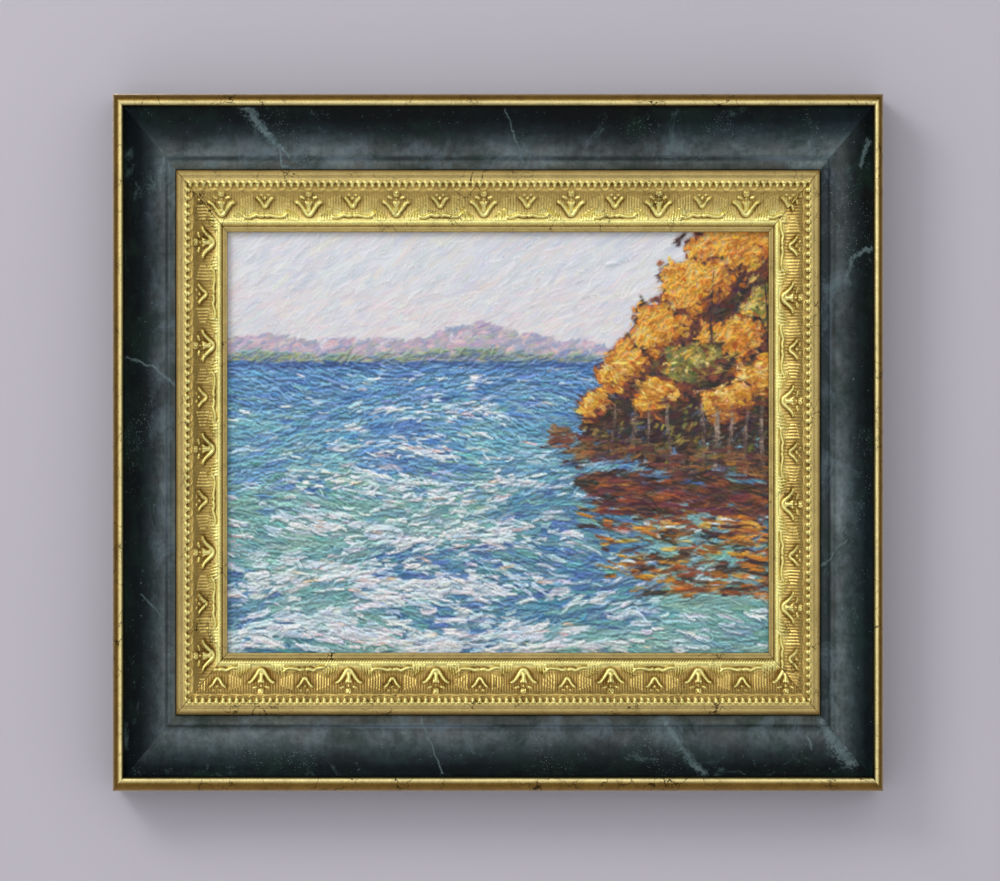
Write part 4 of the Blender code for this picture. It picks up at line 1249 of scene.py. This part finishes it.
light_water = tints((206, 219, 228), (228, 226, 224), (190, 208, 223), (216, 206, 217), (206, 221, 221),
                    (174, 198, 217), (234, 236, 236))
gold_leaves = tints((204, 140, 38), (220, 160, 54), (188, 114, 30), (228, 178, 78), (172, 96, 30),
                    (210, 128, 34))
rust_leaves = tints((150, 78, 30), (128, 62, 32), (168, 92, 34), (112, 56, 40), (140, 84, 46))
olive_leaves = tints((124, 122, 56), (98, 104, 54), (148, 138, 60), (84, 90, 48), (166, 146, 66))
dark_leaves = tints((52, 34, 28), (72, 44, 32), (40, 32, 34), (84, 54, 32), (58, 30, 42), (38, 42, 38))
plum_leaves = tints((98, 44, 54), (76, 38, 58), (112, 58, 50), (60, 34, 48))
bright_leaves = tints((244, 198, 84), (250, 220, 132), (236, 172, 56), (242, 206, 142))
trunk_palette = tints((40, 28, 30), (62, 42, 40), (86, 62, 58), (34, 30, 42))
bank_palette = tints((126, 86, 48), (92, 60, 42), (160, 112, 56), (80, 54, 66), (66, 62, 44), (112, 56, 46))


def water_palette(x, y):
    """Blue by the horizon, greener where the lake is lit, deep blue and green near by."""
    depth = (y - horizon) / (1 - horizon) + paint_random.normal(0, 0.06)
    lit = math.sin(7.0 * x + 5.0 * y) * math.cos(6.0 * y - 3.0 * x) + 0.5 * math.sin(17 * x - 9 * y)
    if depth < 0.16:
        return far_water
    if depth < 0.40:
        return middle_water if lit < 0.5 else far_water
    return green_water if lit > 0.0 else near_water


def light_path(x, y):
    """How much of the water shows the pale sky, most down the left middle of the lake."""
    depth = (y - horizon) / (1 - horizon)
    centre = 0.34 + 0.06 * math.sin(5 * y)
    spread = 0.08 + 0.30 * depth
    bands = 0.5 + 0.5 * math.sin(46 * depth ** 0.7 + 2.6 * math.sin(5 * x) + 1.5 * math.sin(13 * x))
    calm = 0.13 + 0.80 * math.exp(-((x - centre) / spread) ** 2)
    return calm * (0.12 + 0.88 * bands ** 1.6)


def wave_lean(x, y):
    """How the strokes of the water lean, up and down with the swell."""
    return 10 * math.sin(10 * x + 19 * y)


crown_strokes = 2.8e5


def add_crown(x, y, half_width, half_height, gold):
    """One tree's leaves, laid round the crown: dark first, then its colour, then the lit side."""
    strokes = int(crown_strokes * half_width * half_height)
    coloured = gold_leaves if gold > 0.2 else olive_leaves
    layers = (
        (0, 1.0, dark_leaves, 0.0074, 0.0036, 0.0004),
        (1, 0.9, rust_leaves, 0.0064, 0.0032, 0.0006),
        (2, 1.0, coloured, 0.0054, 0.0027, 0.0008),
        (3, 0.4, bright_leaves, 0.0040, 0.0020, 0.0010),
    )
    for layer, share, chips, length, width, load in layers:
        shown = 0.40 + 0.50 * gold if layer > 1 else 0.60
        for number in range(int(strokes * share * shown)):
            turn = paint_random.uniform(0, 2 * math.pi)
            ragged = 0.13 * math.sin(4 * turn + 20 * x) + 0.09 * math.sin(9 * turn + 31 * y)
            out = math.sqrt(paint_random.uniform()) * (1.04 + ragged)
            if paint_random.uniform() < 0.06:
                out *= 1.25
            facing = out * (-0.62 * math.cos(turn) - 0.78 * math.sin(turn))
            if paint_random.normal(facing, 0.30) < (-2.0, -0.22, 0.06, 0.42)[layer]:
                continue
            place_x = x + half_width * out * math.cos(turn)
            place_y = y + half_height * out * math.sin(turn)
            tint = chips[paint_random.integers(len(chips))] + paint_random.normal(0, 10)
            other = tint + paint_random.normal(0, 16, 3)
            if layer == 1:
                other = plum_leaves[paint_random.integers(4)]
            round_lean = math.degrees(turn) + 90 + paint_random.normal(0, 40)
            lay_dab(place_x, place_y, round_lean, length * paint_random.uniform(0.6, 1.3),
                    width * paint_random.uniform(0.7, 1.3), paint_random.normal(0, 0.5),
                    load * paint_random.uniform(0.5, 1.4), np.clip(tint, 6, 252), np.clip(other, 6, 252))


# The ground is brushed in first, pale for the sky and blue for the water.
for row in range(paint_rows):
    down_water = (paint_y[row] - horizon) / (1 - horizon)
    paint_chips[row] = (98 + 16 * down_water, 146 + 14 * down_water, 182)
    if down_water < 0:
        paint_chips[row] = (227, 229, 237)
lay_dabs(1300, inside(0, 1, 0, horizon), -36, 0.016, 0.0038, 0.00018, lambda x, y: sky_palette, 4)
lay_dabs(700, inside(0, 1, 0.15, horizon), -16, 0.013, 0.0030, 0.00018, lambda x, y: low_sky, 4)
lay_dabs(2600, inside(0, 1, horizon, 1.0), 0, 0.016, 0.0036, 0.00030, water_palette, 10, nearness=0.8)
lay_dabs(2200, inside(0, 1, horizon - 0.11, horizon, lambda x, y: y > horizon - far_shore(x)),
         -12, 0.0064, 0.0027, 0.00034, lambda x, y: hill_palette, 8)
lay_dabs(900, inside(0, 1, horizon - 0.10, horizon - 0.02, lambda x, y: y > horizon + 0.006 - far_shore(x)),
         -16, 0.0050, 0.0022, 0.00050, lambda x, y: hill_light, 8)
lay_dabs(620, inside(0, 1, horizon - 0.034, horizon, lambda x, y: y > horizon - 0.42 * far_shore(x)),
         -3, 0.0080, 0.0020, 0.00034, lambda x, y: hill_foot, 9)
lay_dabs(260, inside(0, 1, horizon - 0.002, horizon + 0.010), 0, 0.013, 0.0016, 0.0002,
         lambda x, y: shore_blue, 7)
lay_dabs(2800, inside(0, 1, horizon + 0.012, 1.0), wave_lean, 0.0115, 0.0025, 0.00042, water_palette, 13,
         nearness=0.8)
lay_dabs(4500, inside(0, 1, horizon + 0.015, 1.0, light_path), wave_lean, 0.0085, 0.0020, 0.00062,
         lambda x, y: light_water, 8, nearness=1.1)
# The trees' colours lie again in the water, mirrored under the bank.
for x, y, half_width, half_height, gold in crowns:
    mirror_top = 1.09 - y - half_height
    mirrored = inside(x - half_width, min(x + half_width, 1.0), mirror_top, mirror_top + 2 * half_height,
                      lambda x, y: 0.24 if 0.585 < y < 0.86 else 0.0)
    lay_dabs(int(3600 * half_width), mirrored, 2, 0.0105, 0.0024, 0.00045,
             lambda x, y: (gold_leaves, rust_leaves, dark_leaves)[paint_random.integers(3)], 12)
lay_dabs(560, inside(0.64, 1, 0.565, 0.665, lambda x, y: 0.85 if x > 0.64 + 0.6 * (y - 0.565) else 0.0),
         2, 0.0115, 0.0026, 0.00045,
         lambda x, y: (dark_leaves, plum_leaves, rust_leaves)[paint_random.integers(3)], 12)
under_trees = inside(0.60, 1, 0.36, 0.62, lambda x, y: 0.40 < y < bank_line(x) and x > 0.655)
lay_dabs(1500, under_trees, -50, 0.008, 0.0036, 0.00040, lambda x, y: dark_leaves, 10)
lay_dabs(260, under_trees, -60, 0.005, 0.0022, 0.00050, lambda x, y: olive_leaves, 10)


def add_trunks(first_down, chips):
    """The trunks from this far down the picture to the bank, thicker towards their feet."""
    for trunk_x, trunk_top, trunk_width in trunks:
        foot = bank_line(trunk_x)
        for step_down in np.arange(max(trunk_top, first_down), foot, 0.016):
            sway = 0.006 * math.sin(14 * step_down + 30 * trunk_x)
            thickness = trunk_width * (0.35 + 0.6 * (step_down - trunk_top) / (foot - trunk_top))
            lay_dab(trunk_x + sway, step_down, 86 + paint_random.normal(0, 5), 0.011, thickness, 0, 0.0006,
                    chips[paint_random.integers(len(chips))], chips[paint_random.integers(len(chips))])


for crown in crowns[:4]:
    add_crown(*crown)
add_trunks(0.0, trunk_palette)
for crown in crowns[4:]:
    add_crown(*crown)
add_trunks(0.43, tints((176, 158, 140), (98, 78, 70), (64, 48, 46), (138, 118, 104)))
lay_dabs(900, inside(0.60, 1, 0.42, 0.66, lambda x, y: abs(y + 0.012 - bank_line(x)) < 0.026),
         -4, 0.0085, 0.0026, 0.00070, lambda x, y: bank_palette, 12)
lay_dabs(420, inside(0.58, 1, 0.46, 0.72, lambda x, y: 0.014 < y - bank_line(x) < 0.040),
         0, 0.011, 0.0020, 0.00050, lambda x, y: (near_water, dark_leaves)[paint_random.integers(2)], 10)


def open_water(x, y):
    """The light path, kept off the bank and the dark water under it."""
    return 0.0 if x > 0.60 and y < 0.68 else light_path(x, y)


def lay_broken_strokes(count, area, lean, length):
    """Fine strokes over wet paint: each drags the colour it lies on, lighter or darker."""
    for number in range(count):
        x, y = area()
        wet = paint_chips[int(y * (paint_rows - 1)), int(x * (paint_columns - 1))]
        shift = paint_random.normal(0, 26) + paint_random.normal(0, 7, 3)
        leaning = lean(x, y) + paint_random.normal(0, 14)
        lay_dab(x, y, leaning, length * paint_random.uniform(0.5, 1.6), paint_random.uniform(0.0009, 0.0016),
                paint_random.normal(0, 0.8), 0.0010 * paint_random.uniform(0.3, 1.4),
                np.clip(wet + shift, 8, 250), np.clip(wet - 0.5 * shift, 8, 250))


lay_dabs(1300, inside(0, 1, 0.52, 1.0, open_water), lambda x, y: paint_random.normal(0, 18), 0.0056, 0.0018,
         0.00105, lambda x, y: light_water, 7, nearness=1.0)
lay_dabs(300, inside(0, 0.9, 0.40, 1.0, open_water), 0, 0.008, 0.0018, 0.0006,
         lambda x, y: tints((226, 196, 164), (212, 176, 194)), 8)
lay_broken_strokes(9000, inside(0, 1, horizon, 1.0), lambda x, y: 1.6 * wave_lean(x, y), 0.0058)
lay_broken_strokes(1800, inside(0, 1, 0.0, horizon), lambda x, y: -34, 0.0080)
# Wet paint slumps a little, so that no ridge stands higher than about a millimetre.
highest_ridge = 0.00104
paint_relief = highest_ridge * (1 - np.exp(-np.maximum(paint_relief, 0) / 0.0012))
# The sky is thin paint and lies almost flat. The water is laid thick and stands up in short ridges.
thin_sky = np.clip((paint_chips.mean(axis=2) - 140) / 40, 0, 1) * (paint_y < horizon)[:, None]
paint_relief *= 1 - 0.80 * thin_sky
# Painted shade darkens the furrows and lightens the ridge tops, and slopes that face up and to the left are
# painted lighter, those facing down and right darker.
furrows = (blurred(paint_relief, 2, 2) - paint_relief) / 0.00013
lit_slopes = np.gradient(paint_relief, axis=0) / 0.00010 + np.gradient(paint_relief, axis=1) / 0.00020
painted_ridge_light = 0.14 * np.clip(lit_slopes, -1, 1) - 0.17 * np.clip(furrows, -1, 1.4)
paint_chips *= (1 + painted_ridge_light * (1 - 0.55 * thin_sky))[..., None]

# The paint's back lies just clear of the linen, and its ridges just under the frame's sight edge.
sheet_thickness = 0.0010
ridge_room = 0.0011
linen_clear = 0.00072
sheet_back = sight_back - fit_gap - ridge_room - sheet_thickness
ground_level = sheet_back + sheet_thickness - 0.00008


def add_painting(name, first_row, last_row, finish):
    """One level strip of the paint layer, closed at its edges and behind."""
    rows = last_row - first_row + 1
    across = (paint_x - 0.5) * picture_size[0]
    down = frame_middle.z + (0.5 - paint_y[first_row:last_row + 1]) * picture_size[1]
    front = ground_level + paint_relief[first_row:last_row + 1]
    grid_x, grid_z = np.meshgrid(across, down)
    points = np.stack([grid_x, -front, grid_z], axis=-1).reshape(-1, 3)
    number = np.arange(rows * paint_columns).reshape(rows, paint_columns)
    rim = np.concatenate([number[0, :-1], number[:-1, -1], number[-1, :0:-1], number[:0:-1, 0]])
    behind = points[rim].copy()
    behind[:, 1] = -(sheet_back + linen_clear)
    behind_number = len(points) + np.arange(len(rim))
    quads = np.stack([number[:-1, :-1], number[1:, :-1], number[1:, 1:], number[:-1, 1:]], axis=-1)
    quads = quads.reshape(-1, 4)
    edges = np.stack([rim, np.roll(rim, -1), np.roll(behind_number, -1), behind_number], axis=-1)
    mesh = bpy.data.meshes.new(name)
    faces = quads.tolist() + edges.tolist() + [behind_number.tolist()]
    mesh.from_pydata(np.concatenate([points, behind]).tolist(), [], faces)
    mesh.materials.append(finish)
    mesh.shade_smooth()
    mesh.set_sharp_from_angle(angle=math.radians(75))
    light = light_value(np.clip(paint_chips[first_row:last_row + 1], 0, 255).reshape(-1, 3))
    light = np.concatenate([light, light[rim]])
    tinted = np.column_stack([light, np.ones(len(light))])
    mesh.attributes.new("oil_colour", "FLOAT_COLOR", "POINT").data.foreach_set("color", tinted.ravel())
    # It is unrolled for baking, with the front below, the back above and the thin edges at one spot.
    corner = np.empty(len(mesh.loops), dtype=np.int32)
    mesh.loops.foreach_get("vertex_index", corner)
    places = np.concatenate([points, behind])
    flat = np.column_stack([(places[:, 0] - across[0]) / picture_size[0],
                            (places[:, 2] - down[-1]) / picture_size[0]]) * 0.94 + 0.02
    unrolled = flat[corner]
    unrolled[quads.size:quads.size + edges.size] = 0.985
    back = slice(quads.size + edges.size, None)
    unrolled[back] = unrolled[back] * (0.9, 0.35) + (0.02, 0.62)
    mesh.uv_layers.new(name="OFBake").data.foreach_set("uv", unrolled.ravel())
    piece = put_in_scene(name, mesh)
    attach(piece, "root")
    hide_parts("canvas")


# Linen weave: threads over and under in two directions, of slightly uneven thickness.
weave_group, weave_given, weave_result = new_group(
    "linen_weave", [("Place", "Vector", None), ("Threads", "Float", 1500.0)],
    [("Height", "Float"), ("Shade", "Float")])
uneven = add_node(weave_group, "TexNoise", {"Vector": weave_given["Place"], "Scale": 140.0, "Detail": 3.0})
uneven_shift = scaled(weave_group, uneven.outputs["Color"], 0.0011)
uneven_place = combine_places(weave_group, "ADD", weave_given["Place"], uneven_shift)
thread_place = scaled(weave_group, uneven_place, weave_given["Threads"])
thread_parts = add_node(weave_group, "SeparateXYZ", {"Vector": thread_place}).outputs
crossing = combine(weave_group, "MULTIPLY", sine(weave_group, thread_parts["X"]),
                   sine(weave_group, thread_parts["Z"]))
thread_height = remap(weave_group, crossing, -1.0, 1.0)
slub = noise(weave_group, stretched(weave_group, weave_given["Place"], (40.0, 40.0, 900.0)), 1.0, 3.0, 0.6)
# Partly painted shade: thread tops lighter and the dips between them darker, with the yarn's own uneven
# slubs.
thread_tone_and_shade = combine(weave_group, "ADD", combine(weave_group, "MULTIPLY", thread_height, 0.5),
                       combine(weave_group, "MULTIPLY", slub, 0.5))
feed(weave_group, weave_result, Height=thread_height, Shade=thread_tone_and_shade)

oil, oil_tree, oil_shader = new_material("oil_paint", plain_colour(150, 165, 175), 0.42)
oil_place = add_node(oil_tree, "TexCoord").outputs["Object"]
oil_tint = mesh_mark(oil_tree, "oil_colour", "Color")
pigment = noise(oil_tree, oil_place, 900.0, 2.0, 0.6)
pigment_light = remap(oil_tree, pigment, 0.3, 0.7, 0.95, 1.05)
oil_colour = mix_colour(oil_tree, 1.0, oil_tint, pigment_light, "MULTIPLY")
hair_marks = noise(oil_tree, stretched(oil_tree, oil_place, (500.0, 1.0, 2300.0)), 1.0, 2.0, 0.6)
canvas_weave = put_group(oil_tree, weave_group, {"Place": oil_place, "Threads": 4200.0})
faint_weave = combine(oil_tree, "MULTIPLY", canvas_weave["Height"], 0.18)
oil_height = combine(oil_tree, "ADD", hair_marks, faint_weave)
feed(oil_tree, oil_shader, Base_Color=oil_colour, Roughness=remap(oil_tree, pigment, 0.3, 0.7, 0.36, 0.50),
     Normal=bump(oil_tree, oil_height, 0.45, 0.0003))
oil_shader.inputs["Specular IOR Level"].default_value = 0.35

half_rows = paint_rows // 2
add_painting("painting_upper", 0, half_rows, oil)
add_painting("painting_lower", half_rows, paint_rows - 1, oil)

# Linen: one cloth, stretched over the four bars, folded round their edges and turned over onto
# their backs. Its corners are folded flat. Its edges and back are bare flax, stained brown with age.
canvas_width = 0.3556
canvas_height = 0.2794
cloth = 0.0007
turnover = 0.014
turned_back = 0.0007

linen, linen_tree, linen_shader = new_material("primed_linen", plain_colour(176, 158, 128), 0.85)
linen_place = add_node(linen_tree, "TexCoord").outputs["Object"]
linen_weave = put_group(linen_tree, weave_group, {"Place": linen_place, "Threads": 3600.0})
flax = colour_steps(linen_tree, linen_weave["Shade"], [
    (0.15, plain_colour(138, 118, 88)),
    (0.55, plain_colour(178, 158, 126)),
    (0.9, plain_colour(204, 188, 160)),
])
stains = noise(linen_tree, linen_place, 13.0, 5.0, 0.6)
stain_mask = remap(linen_tree, stains, 0.48, 0.78, 0.0, 0.45)
stained = mix_colour(linen_tree, stain_mask, flax, plain_colour(120, 92, 58))
feed(linen_tree, linen_shader, Base_Color=stained, Roughness=remap(linen_tree, stains, 0.3, 0.7, 0.8, 0.92),
     Normal=bump(linen_tree, linen_weave["Height"], 0.5, 0.0003))
linen_shader.inputs["Sheen Weight"].default_value = 0.15

linen_random = np.random.default_rng(31)
steps_per_side = 44
linen_front = sheet_back + cloth
turned_front = turned_back + cloth
fold = [(0.030, linen_front), (0.012, linen_front), (0.0015, linen_front), (0.0004, linen_front - 0.0002),
        (0.0, linen_front - 0.0008), (0.0, 0.012), (0.0, 0.006), (0.0, turned_back + 0.0008),
        (0.0003, turned_back + 0.0002), (0.0010, turned_back), (0.006, turned_back),
        (turnover - 0.0006, turned_back), (turnover, turned_back + cloth / 2),
        (turnover - 0.0006, turned_front), (0.006, turned_front), (cloth, turned_front), (cloth, 0.006),
        (cloth, 0.012), (cloth, sheet_back), (0.012, sheet_back), (0.030, sheet_back)]
linen_points = []
for inset, level in fold:
    half_x = canvas_width / 2 - inset
    half_z = canvas_height / 2 - inset
    corners = [(-half_x, half_z), (half_x, half_z), (half_x, -half_z), (-half_x, -half_z)]
    for start, end in zip(corners, corners[1:] + corners[:1]):
        for share in np.arange(steps_per_side) / steps_per_side:
            across = start[0] + (end[0] - start[0]) * share
            upward = start[1] + (end[1] - start[1]) * share
            linen_points.append((across, -level, frame_middle.z + upward))
linen_points = np.array(linen_points).reshape(len(fold), -1, 3)
per_ring = 4 * steps_per_side
# The turned-over edge was cut by hand, so it wanders a little.
cut_rings = (11, 12, 13)
cut_edge = 0.0009 * smooth_noise(linen_random, (4, per_ring), 14, 3)
toward_middle = (0, 0, frame_middle.z) - linen_points[cut_rings[1]]
toward_middle[:, 1] = 0
toward_middle /= np.linalg.norm(toward_middle, axis=1)[:, None]
for ring in cut_rings:
    linen_points[ring] += toward_middle * cut_edge[1][:, None]
linen_number = np.arange(len(fold) * per_ring).reshape(len(fold), per_ring)
linen_quads = np.stack([linen_number[:-1], np.roll(linen_number[:-1], -1, axis=1),
                        np.roll(linen_number[1:], -1, axis=1), linen_number[1:]], axis=-1)
linen_faces = linen_quads.reshape(-1, 4).tolist()
linen_faces += [linen_number[0, ::-1].tolist(), linen_number[-1].tolist()]
linen_vertices = linen_points.reshape(-1, 3).tolist()


def add_corner_fold(sign_x, sign_z):
    """The corner's spare cloth, folded flat over the turned-back edge with a slanting edge."""
    outline = [(0.0006, 0.0006), (0.0136, 0.0136), (0.0300, 0.0124), (0.0318, 0.0104), (0.0240, 0.0008)]
    first = len(linen_vertices)
    for level in (turned_back + 0.00005, turned_back - 0.00055):
        for from_x, from_z in outline:
            shrink = 0.0002 if level < turned_back else 0.0
            across = sign_x * (canvas_width / 2 - from_x - shrink)
            upward = sign_z * (canvas_height / 2 - from_z - shrink)
            linen_vertices.append((across, -level, frame_middle.z + upward))
    count = len(outline)
    lower = list(range(first, first + count))
    upper = list(range(first + count, first + 2 * count))
    if sign_x * sign_z > 0:
        lower, upper = lower[::-1], upper[::-1]
    linen_faces.append(lower)
    linen_faces.append(upper[::-1])
    for index in range(count):
        after = (index + 1) % count
        linen_faces.append([lower[after], lower[index], upper[index], upper[after]])


for sign_x in (-1, 1):
    for sign_z in (-1, 1):
        add_corner_fold(sign_x, sign_z)

linen_mesh = bpy.data.meshes.new("linen")
linen_mesh.from_pydata(linen_vertices, [], linen_faces)
facing = bmesh.new()
facing.from_mesh(linen_mesh)
bmesh.ops.recalc_face_normals(facing, faces=facing.faces)
facing.to_mesh(linen_mesh)
facing.free()
linen_mesh.materials.append(linen)
linen_mesh.shade_smooth()
linen_mesh.set_sharp_from_angle(angle=math.radians(50))
linen_piece = put_in_scene("linen", linen_mesh)
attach(linen_piece, "root")
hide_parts("canvas")

# Stretcher: four mitred bars of planed pine, bevelled so that only their outer edge touches the
# linen. The solids have the right shape, so they only get their wood, with the grain along each bar.
for direction, sides in (("level", ("top", "bottom")), ("upright", ("left", "right"))):
    pine, pine_tree, pine_shader = new_material(f"pine_{direction}", plain_colour(190, 150, 100), 0.7)
    bar_place = add_node(pine_tree, "TexCoord").outputs["Object"]
    if direction == "upright":
        quarter_turn = (0.0, math.radians(90), 0.0)
        bar_place = add_node(pine_tree, "Mapping", {"Vector": bar_place, "Rotation": quarter_turn})
        bar_place = bar_place.outputs["Vector"]
    bar_grain = put_group(pine_tree, grain_group, {"Place": bar_place})
    feed(pine_tree, pine_shader, Base_Color=bar_grain["Colour"], Roughness=bar_grain["Roughness"],
         Normal=bump(pine_tree, bar_grain["Height"], 0.35, 0.0003))
    for side in sides:
        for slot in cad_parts[f"stretcher_{side}"].material_slots:
            slot.material = pine
